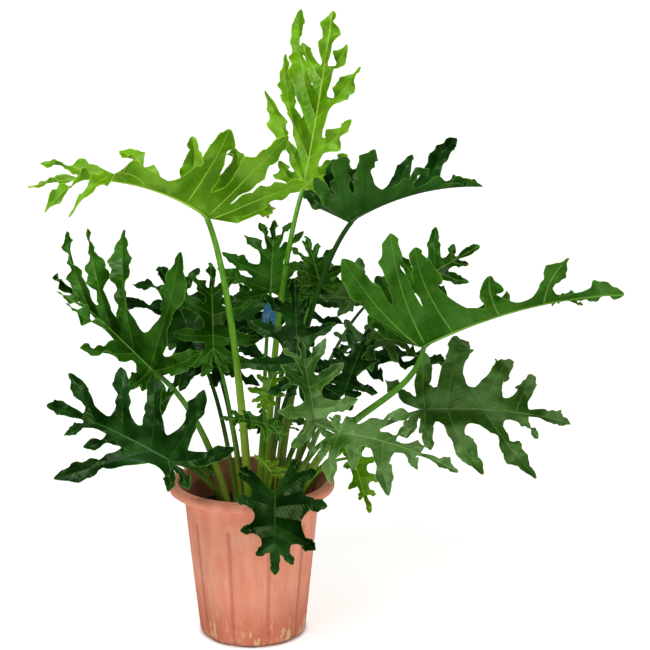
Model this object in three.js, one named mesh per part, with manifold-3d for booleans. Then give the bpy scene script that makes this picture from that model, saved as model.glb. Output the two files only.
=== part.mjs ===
// A lacy tree philodendron growing in a fluted terracotta-coloured plastic pot.
// Millimetres, +Z up, -Y to the front, origin on the floor at the centre of the pot's base.
import * as THREE from "three";
import { mergeVertices } from "three/addons/utils/BufferGeometryUtils.js";
import Module from "manifold-3d";

const wasm = await Module();
wasm.setup();

// The pot: a tapered body with ten flat flutes, a plain collar and a wide rolled rim.
const POT = {
  height: 256,
  baseRadius: 80,
  baseCorner: 10,
  bodyFootRadius: 89,
  bodyTopRadius: 109,
  rimRadius: 135,
  rimWidth: 18,
  rimHeight: 14,
  wall: 3.5,
  floor: 5,
  flutes: 10,
  fluteDepth: 3,
  fluteTop: 212,
  segments: 40,
  drainWidth: 24,
  drainHeight: 4,
  drains: 5,
};

// The potting soil: its top lies below the rim, and it keeps a small gap to the pot's wall.
const SOIL = { top: 204, mound: 9, lump: 3.5, gap: 0.4, segments: 20, rings: [0.22, 0.42, 0.62, 0.82, 1] };
const HOLE_GAP = 0.35;

// The tie: a strip of blue tape wound round one leaf stalk, with two short tails.
const TIE = {
  leaf: "leaf_upper_centre",
  step: 6,
  width: 18,
  thick: 0.9,
  gap: 0.5,
  tail: 40,
  tailWidth: 15,
  tails: [
    [30, -7],
    [-8, -16],
  ],
};

// A leaf stalk stands this deep in the soil.
const STALK_DEPTH = 26;
const STALK_SIDES = 6;
const STALK_STEPS = 7;
const BLADE_THICK = 1.1;

// One half of a blade in the flat, in shares of the leaf's length. The first two lobes spread back
// from the joint, and the others stand along the midrib.
const LOBES = [
  { from: 0, to: 0, angle: 150, reach: 0.46, half: 0.046, notch: 0.4 },
  { from: 0, to: 0.05, angle: 119, reach: 0.54, half: 0.05, notch: 0.36 },
  { from: 0.05, to: 0.27, angle: 93, reach: 0.55, half: 0.054, notch: 0.3 },
  { from: 0.27, to: 0.5, angle: 70, reach: 0.5, half: 0.05, notch: 0.27 },
  { from: 0.5, to: 0.7, angle: 52, reach: 0.38, half: 0.044, notch: 0.25 },
];
const END_LOBE = { from: 0.7, reach: 0.3, half: 0.048, notch: 0.25 };
const BOW = 10;
const ROWS = [0.26, 0.52, 0.78];
const SMALL_ROWS = [0.36, 0.7];
const SMALL_LEAF = 160;

// The leaves, from the tallest down. joint: where the stalk meets the blade. foot: where the stalk
// leaves the soil. heading: the way the midrib points in plan, 0 to the right and 90 to the back.
// rise and roll tilt the blade, droop bends the midrib down, rear bends the rear lobes down, fold
// lifts the left and the right half at the joint and foldEnd at the tip, sag bends the halves' edges
// down, and sweep and rearSweep turn the side and the rear lobes towards the tip, all in degrees.
// gain scales the lobes of the left and the right half, and turn turns them. web says how far out the
// blade is whole, at its foot and at its end. lean shapes the stalk: shares of its way out and up at
// two points.
const LEAVES = [
  { name: "leaf_top_left", joint: [-53, -80, 691], foot: [-2, -14], length: 290, heading: 203, rise: 37,
    droop: 50, rear: 0, fold: [84, 62], foldEnd: [-15, 10], sag: 25, stalk: [8, 4.2], tone: "lime",
    web: [0.6, 0.6], gain: [[1.15, 1.3, 1.1, 1.1, 1.25], [1.5, 1.3, 0.9, 0.75, 0.9]],
    turn: [[0, 0, 8, -24, -8], [12, 4, 10, 20, 0]], rearSweep: 34, sweep: 22 },
  { name: "leaf_top", joint: [84, 92, 722], foot: [18, 10], length: 300, heading: 62, rise: 67,
    droop: -6, rear: 10, fold: [-22, 20], foldEnd: [6, 15], sag: 15, stalk: [7.5, 3.6], tone: "lime",
    web: [0.8, 0.8], gain: [[0.8, 1.1, 1.45, 1.45, 0.75], [0.7, 0.65, 0.7, 0.8, 0.6]],
    turn: [[-28, -34, -22, -16, 20], [10, 6, 4, 6, 14]], rearSweep: 60, sweep: 50 },
  { name: "leaf_top_right", joint: [154, -70, 685], foot: [38, -8], length: 222, heading: 12, rise: 30,
    droop: 34, rear: 0, fold: [55, 80], foldEnd: [45, 10], sag: 20, stalk: [6.5, 3.6], tone: "dark",
    web: [1.2, 0.8], gain: [[1, 1, 0.9, 0.75, 1.4], [0.8, 0.9, 0.9, 0.8, 1]],
    turn: [[0, 0, 8, 0, 16], [0, 0, 0, 0, 0]], rearSweep: 48, sweep: 18 },
  { name: "leaf_right", joint: [268, -40, 484], foot: [62, -22], length: 366, heading: 18, rise: 22,
    droop: 24, rear: 0, fold: [62, 86], foldEnd: [-35, 72], sag: 15, stalk: [8, 4.2], tone: "green",
    lean: [0.2, 0.7, 0.91, 0.65], web: [1.35, 0.5],
    gain: [[0.6, 0.7, 0.65, 0.55, 1.1], [1.1, 1, 0.95, 0.42, 0.6]],
    turn: [[0, 0, 0, 0, -6], [-6, 3, 19, 40, 30]], rearSweep: 34, sweep: 12 },
  { name: "leaf_right_low", joint: [278, 60, 356], foot: [54, 16], length: 275, heading: 6, rise: 2,
    roll: 38, droop: 28, rear: -20, fold: [12, 12], sag: 22, stalk: [6.5, 3.6], tone: "grey",
    lean: [0.22, 0.62, 0.62, 0.9], web: [0.8, 0.8],
    gain: [[0.6, 0.85, 1.45, 1.35, 1], [0.55, 0.65, 1.1, 1.05, 0.6]],
    turn: [[0, -12, -22, -8, 0], [0, 0, -16, -4, 0]], rearSweep: 25 },
  { name: "leaf_front_right", joint: [138, -204, 392], foot: [48, -44], length: 192, heading: -30, rise: 2,
    roll: 25, droop: 30, rear: 0, fold: [8, 8], sag: 30, stalk: [6, 3.3], tone: "grey", web: [1.1, 0.8],
    gain: [[0.5, 0.55, 0.9, 0.5, 0.5], [0.65, 0.85, 0.75, 1.15, 0.5]],
    turn: [[0, -8, -32, -14, 0], [-26, -20, -16, -6, 0]], rearSweep: 32, sweep: 10 },
  { name: "leaf_centre_front", joint: [104, -144, 388], foot: [36, -28], length: 145, heading: 112, rise: 70,
    droop: 25, rear: 10, fold: [42, 36], sag: 25, stalk: [6, 3.3], tone: "grey", web: [1.1, 0.8],
    gain: [[0.8, 0.8, 1, 1, 1], [0.6, 0.8, 0.9, 1, 1]], turn: [[0, 0, 0, 0, 0], [-24, -6, 0, 0, 0]] },
  { name: "leaf_centre", joint: [77, -87, 445], foot: [22, -14], length: 160, heading: 96, rise: 80,
    droop: 25, rear: 10, fold: [10, 10], sag: 30, stalk: [5.5, 3], tone: "dark",
    gain: [[0.5, 0.6, 1, 1, 1], [0.8, 0.9, 0.9, 0.8, 0.65]], turn: [[0, 0, 0, 0, 0], [0, 0, 0, 0, -20]] },
  { name: "leaf_centre_right", joint: [180, 20, 480], foot: [52, 2], length: 100, heading: -8, rise: 10,
    roll: 35, droop: 30, rear: 0, fold: [10, 10], sag: 30, stalk: [5, 2.8], tone: "grey",
    gain: [[1.2, 1.2, 1.1, 1, 1], [1.2, 1.2, 1.1, 1, 1]] },
  { name: "leaf_right_back", joint: [195, 150, 519], foot: [54, 32], length: 150, heading: 165, rise: 12,
    roll: -20, droop: 20, rear: 0, fold: [30, 70], sag: 25, stalk: [4.5, 2.4], tone: "grey",
    gain: [[0.7, 0.8, 1, 1, 1], [1, 1.1, 1, 1, 1]], sweep: 10 },
  { name: "leaf_upper_centre", joint: [29, 95, 548], foot: [14, 32], length: 150, heading: 88, rise: 50,
    droop: 10, rear: 0, fold: [35, 35], sag: 20, stalk: [5, 2.6], tone: "green", web: [1.2, 1],
    gain: [[1, 1.1, 1.1, 1, 1], [1, 1.1, 1.1, 1, 1]], rearSweep: 40, sweep: 25 },
  { name: "leaf_centre_young", joint: [112, 4, 572], foot: [34, 14], length: 100, heading: 110, rise: 52,
    roll: 10, droop: 10, rear: 0, fold: [20, 20], sag: 10, stalk: [4.5, 2.4], tone: "green",
    web: [1.3, 1], gain: [[0.8, 0.9, 1.1, 1, 0.8], [0.65, 0.8, 0.9, 1, 0.8]], rearSweep: 40, sweep: 25 },
  { name: "leaf_left_back", joint: [-95, 66, 462], foot: [-24, 18], length: 205, heading: 118, rise: 44,
    roll: -10, droop: 24, rear: 0, fold: [14, 12], sag: 35, stalk: [5, 2.8], tone: "dark",
    gain: [[1, 1, 1, 1, 1], [0.9, 0.9, 1, 1, 1]] },
  { name: "leaf_back_left", joint: [-44, 165, 459], foot: [-6, 30], length: 180, heading: 66, rise: 38,
    droop: 30, rear: 0, fold: [10, 10], sag: 35, stalk: [4.5, 2.5], tone: "dark",
    gain: [[0.7, 0.7, 0.8, 1, 1], [1, 1, 1, 1, 1]] },
  { name: "leaf_left", joint: [-155, -15, 440], foot: [-32, -8], length: 300, heading: 138, rise: 28,
    roll: -38, droop: 12, rear: 0, fold: [56, 60], sag: 25, stalk: [7, 3.8], tone: "green",
    web: [0.85, 0.6], gain: [[0.8, 0.62, 0.75, 0.6, 0.6], [0.95, 1.25, 1.25, 1.32, 1.3]],
    turn: [[20, 15, 20, 0, 0], [0, -15, -25, -12, -8]], rearSweep: 20, sweep: 30 },
  { name: "leaf_left_low", joint: [-110, -178, 339], foot: [-28, -32], length: 230, heading: 162, rise: 26,
    roll: -30, droop: 22, rear: 0, fold: [0, 50], sag: 28, stalk: [6.5, 3.6], tone: "dark",
    web: [0.9, 0.75], gain: [[0.45, 0.5, 1.35, 0.6, 0.6], [0.9, 0.9, 0.85, 1, 1.05]],
    turn: [[0, 0, -34, -4, 10], [-15, -35, -22, 0, 0]], sweep: 14 },
  { name: "leaf_pot_front", joint: [44, -184, 290], foot: [16, -62], length: 122, heading: 270, rise: -80,
    droop: 4, rear: 0, fold: [4, 4], sag: 12, stalk: [4.5, 2.8], tone: "dark",
    lean: [0.1, 0.62, 0.72, 1.12], web: [1.9, 2],
    gain: [[1.2, 1.25, 1.3, 1.25, 1], [1.25, 1.05, 0.9, 0.8, 0.8]],
    turn: [[-2, 4, -4, -16, -10], [-26, 2, 8, 6, 4]] },
  { name: "leaf_small_light", joint: [26, -40, 402], foot: [8, -1], length: 64, heading: 60, rise: 60,
    droop: 20, rear: 0, fold: [20, 20], sag: 10, stalk: [3.6, 2.2], tone: "lime", web: [1.3, 1.2],
    gain: [[0.7, 0.8, 0.9, 0.9, 0.9], [0.7, 0.8, 0.9, 0.9, 0.9]] },
  { name: "leaf_small_dark", joint: [36, -126, 380], foot: [14, -38], length: 80, heading: 196, rise: 25,
    roll: -20, droop: 30, rear: 0, fold: [10, 10], sag: 20, stalk: [4, 2.2], tone: "green",
    web: [1.4, 1.3], gain: [[0.8, 0.9, 0.9, 0.9, 0.9], [0.8, 0.9, 0.9, 0.9, 0.9]] },
  { name: "leaf_right_under", joint: [162, -80, 318], foot: [62, -42], length: 92, heading: -48, rise: -62,
    roll: 20, droop: 10, rear: 0, fold: [30, 30], sag: 10, stalk: [4, 2.2], tone: "lime",
    lean: [0.18, 0.75, 0.62, 0.98], web: [1.5, 1.6],
    gain: [[0.65, 0.62, 0.65, 0.7, 0.65], [0.65, 0.62, 0.65, 0.75, 0.65]] },
  { name: "leaf_in_pot", joint: [-72, 28, 262], foot: [-52, 20], length: 46, heading: 200, rise: 25,
    roll: -20, droop: 10, rear: 0, fold: [15, 15], sag: 10, stalk: [2.6, 1.6], tone: "green",
    web: [1.4, 1.4] },
  { name: "leaf_foot_young", joint: [38, -100, 296], foot: [26, -70], length: 58, heading: 240, rise: 50,
    droop: 20, rear: 0, fold: [20, 20], sag: 10, stalk: [3.4, 2], tone: "lime", web: [1.4, 1.4],
    gain: [[0.7, 0.8, 0.9, 0.9, 0.9], [0.7, 0.8, 0.9, 0.9, 0.9]] },
  { name: "leaf_right_upper", joint: [262, 205, 534], foot: [66, 48], length: 150, heading: 8, rise: 32,
    roll: 60, droop: 15, rear: 0, fold: [15, 15], sag: 20, stalk: [4.5, 2.4], tone: "green",
    lean: [0.19, 0.57, 0.76, 0.79], web: [1.2, 0.9],
    gain: [[0.55, 0.6, 0.75, 1.1, 0.55], [0.55, 0.55, 0.6, 0.8, 0.5]],
    turn: [[0, 0, 0, -14, 0], [0, 0, 0, -8, 0]] },
  { name: "leaf_left_inner", joint: [-60, 6, 470], foot: [-16, 3], length: 145, heading: 94, rise: 74,
    roll: 10, droop: 16, rear: 0, fold: [34, 26], sag: 30, stalk: [4.4, 2.5], tone: "green",
    web: [0.9, 0.8], gain: [[0.7, 0.75, 1, 1.1, 1], [0.7, 0.8, 1, 1, 1]] },
  { name: "leaf_rear_left", joint: [-72, 225, 395], foot: [-16, 48], length: 225, heading: 118, rise: 18,
    droop: 45, rear: 0, fold: [15, 15], sag: 30, stalk: [6, 3.3], tone: "dark" },
  { name: "leaf_rear", joint: [62, 260, 480], foot: [26, 56], length: 235, heading: 78, rise: 24,
    droop: 50, rear: 0, fold: [15, 15], sag: 30, stalk: [6, 3.5], tone: "dark" },
  { name: "leaf_rear_right", joint: [190, 217, 396], foot: [44, 54], length: 215, heading: 40, rise: 12,
    droop: 45, rear: 0, fold: [15, 15], sag: 30, stalk: [6, 3.3], tone: "dark" },
  { name: "leaf_rear_low", joint: [24, 158, 300], foot: [8, 62], length: 140, heading: 92, rise: 4,
    droop: 50, rear: 0, fold: [12, 12], sag: 30, stalk: [5, 3], tone: "green",
    gain: [[0.7, 0.75, 1, 1, 1], [0.7, 0.75, 1, 1, 1]] },
  { name: "leaf_right_inner", joint: [150, -50, 412], foot: [50, -11], length: 115, heading: 48, rise: 62,
    roll: 10, droop: 14, rear: 0, fold: [30, 30], sag: 30, stalk: [4, 2.4], tone: "dark", web: [1.1, 0.9],
    gain: [[0.8, 0.8, 0.9, 1, 1], [0.8, 0.8, 0.9, 1, 1]], rearSweep: 30 },
];

const TONES = {
  lime: new THREE.MeshStandardMaterial({ color: 0x6ea31a, roughness: 0.5 }),
  green: new THREE.MeshStandardMaterial({ color: 0x3f7d1c, roughness: 0.45 }),
  grey: new THREE.MeshStandardMaterial({ color: 0x4d6b43, roughness: 0.4 }),
  dark: new THREE.MeshStandardMaterial({ color: 0x24521f, roughness: 0.4 }),
};
const POT_PLASTIC = new THREE.MeshStandardMaterial({ color: 0xd98868, roughness: 0.7 });
const SOIL_EARTH = new THREE.MeshStandardMaterial({ color: 0x2b1d14, roughness: 0.95 });
const TIE_TAPE = new THREE.MeshStandardMaterial({ color: 0x2c6f9e, roughness: 0.5 });

const radians = THREE.MathUtils.degToRad;
const mix = THREE.MathUtils.lerp;

// A repeatable number from 0 to 1 for each pair of numbers.
function chance(a, b) {
  const wave = Math.sin(a * 127.1 + b * 311.7) * 43758.5453;
  return wave - Math.floor(wave);
}

// Solids for joining and cutting.
function toSolid(geometry) {
  const bare = geometry.clone();
  bare.deleteAttribute("normal");
  bare.deleteAttribute("uv");
  const merged = mergeVertices(bare, 1e-4);
  return new wasm.Manifold(
    new wasm.Mesh({
      numProp: 3,
      vertProperties: new Float32Array(merged.attributes.position.array),
      triVerts: new Uint32Array(merged.index.array),
    }),
  );
}

function toGeometry(solid) {
  const mesh = solid.getMesh();
  const geometry = new THREE.BufferGeometry();
  geometry.setAttribute("position", new THREE.BufferAttribute(mesh.vertProperties, 3));
  geometry.setIndex(new THREE.BufferAttribute(mesh.triVerts, 1));
  return geometry.toNonIndexed();
}

function geometryFrom(points, faces) {
  const geometry = new THREE.BufferGeometry();
  const places = points.flatMap((p) => p.toArray());
  geometry.setAttribute("position", new THREE.Float32BufferAttribute(places, 3));
  geometry.setIndex(faces.flat());
  return geometry;
}

function named(name, geometry, material) {
  geometry.computeVertexNormals();
  const mesh = new THREE.Mesh(geometry, material);
  mesh.name = name;
  return mesh;
}

// A tapered tube along a curve, closed at both ends.
function tube(curve, radiusAt, sides, steps) {
  const frames = curve.computeFrenetFrames(steps);
  const points = [];
  const faces = [];
  for (let i = 0; i <= steps; i++) {
    const centre = curve.getPointAt(i / steps);
    for (let j = 0; j < sides; j++) {
      const angle = (2 * Math.PI * j) / sides;
      const out = frames.normals[i].clone().multiplyScalar(Math.cos(angle));
      out.addScaledVector(frames.binormals[i], Math.sin(angle));
      points.push(centre.clone().addScaledVector(out, radiusAt(i / steps)));
    }
  }
  const at = (i, j) => i * sides + (j % sides);
  for (let i = 0; i < steps; i++)
    for (let j = 0; j < sides; j++) {
      faces.push([at(i, j), at(i, j + 1), at(i + 1, j + 1)]);
      faces.push([at(i, j), at(i + 1, j + 1), at(i + 1, j)]);
    }
  for (let j = 1; j < sides - 1; j++) {
    faces.push([at(0, 0), at(0, j + 1), at(0, j)]);
    faces.push([at(steps, 0), at(steps, j), at(steps, j + 1)]);
  }
  return geometryFrom(points, faces);
}

// The pot's body is turned on a lathe, and its outside is then drawn in between the flutes.
function potGeometry() {
  const { height, rimRadius, rimWidth, rimHeight, wall, floor } = POT;
  const lip = rimRadius - rimWidth;
  const collar = POT.bodyTopRadius;
  const outside = [
    [0, 0],
    [POT.baseRadius, 0],
    [POT.bodyFootRadius - 2.5, POT.baseCorner * 0.4],
    [POT.bodyFootRadius, POT.baseCorner],
    [mix(POT.bodyFootRadius, collar, 0.5), POT.fluteTop * 0.5],
    [collar - 1, POT.fluteTop - 14],
    [collar + 0.8, POT.fluteTop + 4],
    [collar + 2, height - rimHeight - 4],
    [rimRadius - 5, height - rimHeight - 1.5],
    [rimRadius - 0.8, height - rimHeight + 1.5],
    [rimRadius, height - 5],
    [rimRadius - 3.5, height - 0.8],
  ];
  const inside = [
    [lip + 3, height],
    [lip, height - 3],
    [collar - wall, height - rimHeight - 5],
    [POT.bodyFootRadius - wall - POT.fluteDepth, floor + 6],
    [POT.bodyFootRadius - wall - POT.fluteDepth - 6, floor],
    [0, floor],
  ];
  const profile = [...outside, ...inside].map(([r, z]) => new THREE.Vector2(r, z));
  const lathe = new THREE.LatheGeometry(profile, POT.segments).rotateX(Math.PI / 2);
  const position = lathe.attributes.position;
  const stride = profile.length;
  for (let i = 0; i < position.count; i++) {
    const row = i % stride;
    const z = position.getZ(i);
    if (row < 2 || row > 5) continue;
    const angle = Math.atan2(position.getY(i), position.getX(i));
    const panel = Math.abs(Math.sin((POT.flutes * angle) / 2));
    const fade = Math.min(1, (POT.fluteTop - z) / 14);
    const radius = Math.hypot(position.getX(i), position.getY(i));
    const shrink = 1 - (POT.fluteDepth * (1 - panel) * fade) / radius;
    position.setX(i, position.getX(i) * shrink);
    position.setY(i, position.getY(i) * shrink);
  }
  return lathe;
}

// Low arched gaps in the foot let water out.
function drainSolid(k) {
  const arch = new THREE.CylinderGeometry(POT.drainWidth / 2, POT.drainWidth / 2, 34, 12);
  arch.scale(1, 1, (2 * POT.drainHeight) / POT.drainWidth);
  arch.translate(0, -POT.baseRadius, 0);
  arch.rotateZ((2 * Math.PI * k) / POT.drains);
  return toSolid(arch);
}

function makePot() {
  let pot = toSolid(potGeometry());
  for (let k = 0; k < POT.drains; k++) pot = pot.subtract(drainSolid(k));
  return named("pot", toGeometry(pot), POT_PLASTIC);
}

// The inner wall's radius at a height.
function innerRadius(z) {
  const low = POT.bodyFootRadius - POT.wall - POT.fluteDepth;
  const high = POT.bodyTopRadius - POT.wall;
  const top = POT.height - POT.rimHeight - 5;
  return mix(low, high, (z - POT.floor - 6) / (top - POT.floor - 6));
}

function soilHeight(share, angle, k) {
  const lumps = Math.sin(3 * angle + 5 * share) + Math.sin(7 * angle - 9 * share + 1);
  const rough = SOIL.lump * (0.5 * lumps + chance(k, 7) - 0.5) * share;
  return SOIL.top + SOIL.mound * (1 - share * share) + rough;
}

function soilGeometry() {
  const foot = POT.floor + 6.5;
  const points = [new THREE.Vector3(0, 0, foot), new THREE.Vector3(0, 0, soilHeight(0, 0, 0))];
  const faces = [];
  const rims = [foot, ...SOIL.rings];
  const at = (ring, j) => 2 + ring * SOIL.segments + (j % SOIL.segments);
  rims.forEach((share, ring) => {
    for (let j = 0; j < SOIL.segments; j++) {
      const angle = (2 * Math.PI * j) / SOIL.segments;
      const z = ring ? soilHeight(share, angle, ring * SOIL.segments + j) : foot;
      const radius = ring ? share * (innerRadius(SOIL.top - 6) - SOIL.gap) : innerRadius(foot) - SOIL.gap;
      points.push(new THREE.Vector3(radius * Math.cos(angle), radius * Math.sin(angle), z));
    }
  });
  const last = SOIL.rings.length;
  for (let j = 0; j < SOIL.segments; j++) {
    faces.push([0, at(0, j + 1), at(0, j)], [1, at(1, j), at(1, j + 1)]);
    for (let ring = 1; ring < last; ring++) {
      faces.push([at(ring, j), at(ring + 1, j), at(ring + 1, j + 1)]);
      faces.push([at(ring, j), at(ring + 1, j + 1), at(ring, j + 1)]);
    }
    faces.push([at(0, j), at(0, j + 1), at(last, j + 1)], [at(0, j), at(last, j + 1), at(last, j)]);
  }
  return geometryFrom(points, faces);
}

// The three directions of a blade at its joint: along the midrib, to its left and up from its face.
function bladeAxes(leaf) {
  const heading = radians(leaf.heading);
  const rise = radians(leaf.rise);
  const roll = radians(leaf.roll ?? 0);
  const along = new THREE.Vector3(Math.cos(heading), Math.sin(heading), 0).multiplyScalar(Math.cos(rise));
  along.z = Math.sin(rise);
  const level = new THREE.Vector3(-Math.sin(heading), Math.cos(heading), 0);
  const face = new THREE.Vector3().crossVectors(along, level);
  const left = level.clone().multiplyScalar(Math.cos(roll)).addScaledVector(face, Math.sin(roll));
  const up = face.clone().multiplyScalar(Math.cos(roll)).addScaledVector(level, -Math.sin(roll));
  return { along, left, up };
}

// A point of the blade in space, from its place in the flat and its lift off the surface.
function bladePoint(leaf, side, [x, y], lift = 0) {
  const { along, left, up } = leaf.axes;
  const size = leaf.length;
  const bend = radians((x < 0 ? 2 * leaf.rear : leaf.droop) || 0.01) / size;
  const turn = bend * Math.abs(x);
  const forward = (Math.sign(x) * Math.sin(turn)) / bend;
  const down = (1 - Math.cos(turn)) / bend;
  const over = up.clone().multiplyScalar(Math.cos(turn));
  over.addScaledVector(along, Math.sign(x) * Math.sin(turn));
  const half = side > 0 ? 0 : 1;
  const ahead = THREE.MathUtils.clamp(x / size, 0, 1);
  const fold = radians(mix(leaf.fold[half], (leaf.foldEnd ?? leaf.fold)[half], ahead));
  const sag = radians(leaf.sag) / (0.55 * size);
  const tilt = fold - sag * y;
  const outward = (Math.sin(fold) - Math.sin(tilt)) / sag;
  const raised = (Math.cos(tilt) - Math.cos(fold)) / sag;
  return new THREE.Vector3(...leaf.joint)
    .addScaledVector(along, forward)
    .addScaledVector(up, -down)
    .addScaledVector(left, side * (outward - lift * Math.sin(tilt)))
    .addScaledVector(over, raised + lift * Math.cos(tilt));
}

// Small leaves have broader lobes for their size.
function smallLeafWidth(leaf) {
  return 1 + 0.28 * THREE.MathUtils.clamp((210 - leaf.length) / 100, 0, 1);
}

// The lobes of one half, with each one's size varied a little and its own curl, wave and teeth.
function halfPlan(leaf, side) {
  const lobes = LOBES.map((lobe, k) => {
    const seed = leaf.seed * 20 + k + (side > 0 ? 0 : 10);
    const gain = (leaf.gain?.[side > 0 ? 0 : 1]?.[k] ?? 1) * mix(0.88, 1.1, chance(seed, 1));
    const swept = ((k > 1 ? leaf.sweep : leaf.rearSweep) ?? 0) * (1 - 0.1 * k);
    const turn = leaf.turn?.[side > 0 ? 0 : 1]?.[k] ?? 0;
    const angle = lobe.angle + mix(-5, 5, chance(seed, 2)) - swept + turn;
    const root = [mix(lobe.from, lobe.to, 0.5), 0];
    const aim = (share, turned) => [
      root[0] + lobe.reach * gain * share * Math.cos(radians(angle + turned)),
      root[1] + lobe.reach * gain * share * Math.sin(radians(angle + turned)),
    ];
    const [a, b, c] = [root, aim(0.5, BOW), aim(1, 0)].map(([x, y]) => new THREE.Vector2(x, y));
    const half = lobe.half * mix(1, gain, 0.5) * smallLeafWidth(leaf);
    const notch = lobe.notch * mix(...(leaf.web ?? [1, 1]), k / 4);
    const vein = new THREE.QuadraticBezierCurve(a, b, c);
    return { ...lobe, seed, half, notch, reach: lobe.reach * gain, vein };
  });
  const seed = leaf.seed * 20 + (side > 0 ? 8 : 18);
  const end = new THREE.Vector2(END_LOBE.from + END_LOBE.reach, 0);
  const vein = new THREE.LineCurve(new THREE.Vector2(END_LOBE.from, 0), end);
  lobes.push({ ...END_LOBE, half: END_LOBE.half * smallLeafWidth(leaf), seed, vein, isEnd: true });
  lobes.forEach((lobe, k) => {
    const next = lobes[k + 1];
    if (!next) return;
    const a = lobe.vein.getPoint(lobe.notch);
    const b = next.vein.getPoint(next.notch);
    lobe.frontNotch = [(a.x + b.x) / 2, (a.y + b.y) / 2];
    lobe.frontVein = next.vein;
    next.rearNotch = lobe.frontNotch;
    next.rearVein = lobe.vein;
  });
  lobes[0].rearNotch = edgePoint(lobes[0], -1, 0);
  return lobes;
}

// How wide half a lobe is from its notch (0) to its tip (1). Some tips are blunt, others drawn out.
function halfWidth(lobe, u) {
  const blunt = mix(2.5, 6, chance(lobe.seed, 6));
  return (0.88 + 0.26 * Math.sin(Math.PI * u ** 1.1)) * (1 - u ** blunt) ** 0.6;
}

function teeth(lobe, edge, u) {
  const waves = mix(1.3, 2.1, chance(lobe.seed, 3));
  return 1 + 0.2 * (1 - 0.5 * u) * Math.sin(2 * Math.PI * (waves * u + chance(lobe.seed, 4 + edge)));
}

// How far a place in the flat is from a vein.
function clearance(vein, spot) {
  return Math.min(...vein.getPoints(24).map((point) => point.distanceTo(spot)));
}

// A point on a lobe's rear (-1) or front (1) edge in the flat.
function edgePoint(lobe, edge, u) {
  const t = mix(lobe.notch, 1, u);
  const { x, y } = lobe.vein.getPoint(t);
  const { x: tx, y: ty } = lobe.vein.getTangent(t);
  const beside = edge > 0 ? lobe.frontVein : lobe.rearVein;
  const room = beside ? 0.44 * clearance(beside, new THREE.Vector2(x, y)) : 1;
  const half = edge * Math.min(room, lobe.half * halfWidth(lobe, u) * teeth(lobe, edge, u));
  const plain = [x + half * ty, y - half * tx];
  const notch = edge > 0 ? lobe.frontNotch : lobe.rearNotch;
  if (!notch || u >= 0.3) return plain;
  const hold = (1 - u / 0.3) ** 2;
  return [mix(plain[0], notch[0], hold), mix(plain[1], notch[1], hold)];
}

// How far a lobe's edge stands off the blade's smooth surface, in shares of the leaf's length.
function liftOf(lobe, edge, u) {
  const curl = mix(-0.5, 0.42, chance(lobe.seed, 8)) * 0.4;
  const wave = 0.035 * Math.sin(2 * Math.PI * (1.4 * u + chance(lobe.seed, 9)));
  return (lobe.isEnd ? 0 : curl * lobe.reach * u * u) + edge * wave * Math.min(1, u * 3) * (1 - u ** 3);
}

// The way up from the midrib, halfway between the two halves' own ways up.
function ribNormal(leaf, x) {
  const normal = new THREE.Vector3();
  for (const side of [1, -1]) {
    normal.add(bladePoint(leaf, side, [x, 0], 1));
    normal.sub(bladePoint(leaf, side, [x, 0]));
  }
  return normal.normalize();
}

// The blade: one net of triangles for its face, given its thickness and a rib along the midrib.
function bladeGeometry(leaf) {
  const size = leaf.length;
  const rows = size < SMALL_LEAF ? SMALL_ROWS : ROWS;
  const points = [];
  const ribs = [];
  const faces = [];
  const known = new Map();
  const add = (key, side, flat, lift = 0) => {
    if (!known.has(key)) {
      known.set(key, points.length);
      points.push(bladePoint(leaf, side, [flat[0] * size, flat[1] * size], lift * size));
    }
    return known.get(key);
  };
  for (const side of [1, -1]) {
    const quad = (a, b, c, d) => {
      const turned = side > 0 ? [a, b, c, d] : [d, c, b, a];
      const [p, q, r, s] = turned;
      if (p !== q) faces.push([p, q, r]);
      if (r !== s) faces.push([p, r, s]);
    };
    const spineAt = (q) => {
      const index = add(`rib${q}`, side, [q, 0]);
      const depth = leaf.stalk[1] * 0.6 * Math.max(0, 1 - q) ** 1.2;
      ribs[index] = { normal: ribNormal(leaf, q * size), depth };
      return index;
    };
    halfPlan(leaf, side).forEach((lobe, k) => {
      const key = (word) => `${word}${side}${k}`;
      if (lobe.isEnd) {
        const along = (u) => mix(lobe.from, lobe.from + lobe.reach, mix(lobe.notch, 1, u));
        const stations = [0, ...rows];
        const edges = stations.map((u, i) => {
          if (!i) return add(`notch${side}${k - 1}`);
          return add(key(`edge${i}`), side, edgePoint(lobe, -1, u), liftOf(lobe, -1, u) * 0.5);
        });
        const mids = stations.map((u) => spineAt(along(u)));
        quad(spineAt(lobe.from), mids[0], edges[0], edges[0]);
        for (let i = 0; i < stations.length - 1; i++) quad(mids[i], mids[i + 1], edges[i + 1], edges[i]);
        const last = stations.length - 1;
        quad(mids[last], spineAt(lobe.from + lobe.reach), edges[last], edges[last]);
        return;
      }
      const heel = k ? `notch${side}${k - 1}` : key("heel");
      const rear = [spineAt(lobe.from), add(heel, side, lobe.rearNotch)];
      const front = [spineAt(lobe.to), add(`notch${side}${k}`, side, lobe.frontNotch)];
      rows.forEach((u, i) => {
        rear.push(add(key(`rear${i}`), side, edgePoint(lobe, -1, u), liftOf(lobe, -1, u)));
        front.push(add(key(`front${i}`), side, edgePoint(lobe, 1, u), liftOf(lobe, 1, u)));
      });
      for (let i = 0; i < rear.length - 1; i++) quad(rear[i], front[i], front[i + 1], rear[i + 1]);
      const { x, y } = lobe.vein.getPoint(1);
      const tip = add(key("tip"), side, [x, y], liftOf(lobe, 0, 1));
      quad(rear.at(-1), front.at(-1), tip, tip);
    });
  }
  return thicken(points, faces, ribs);
}

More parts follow.
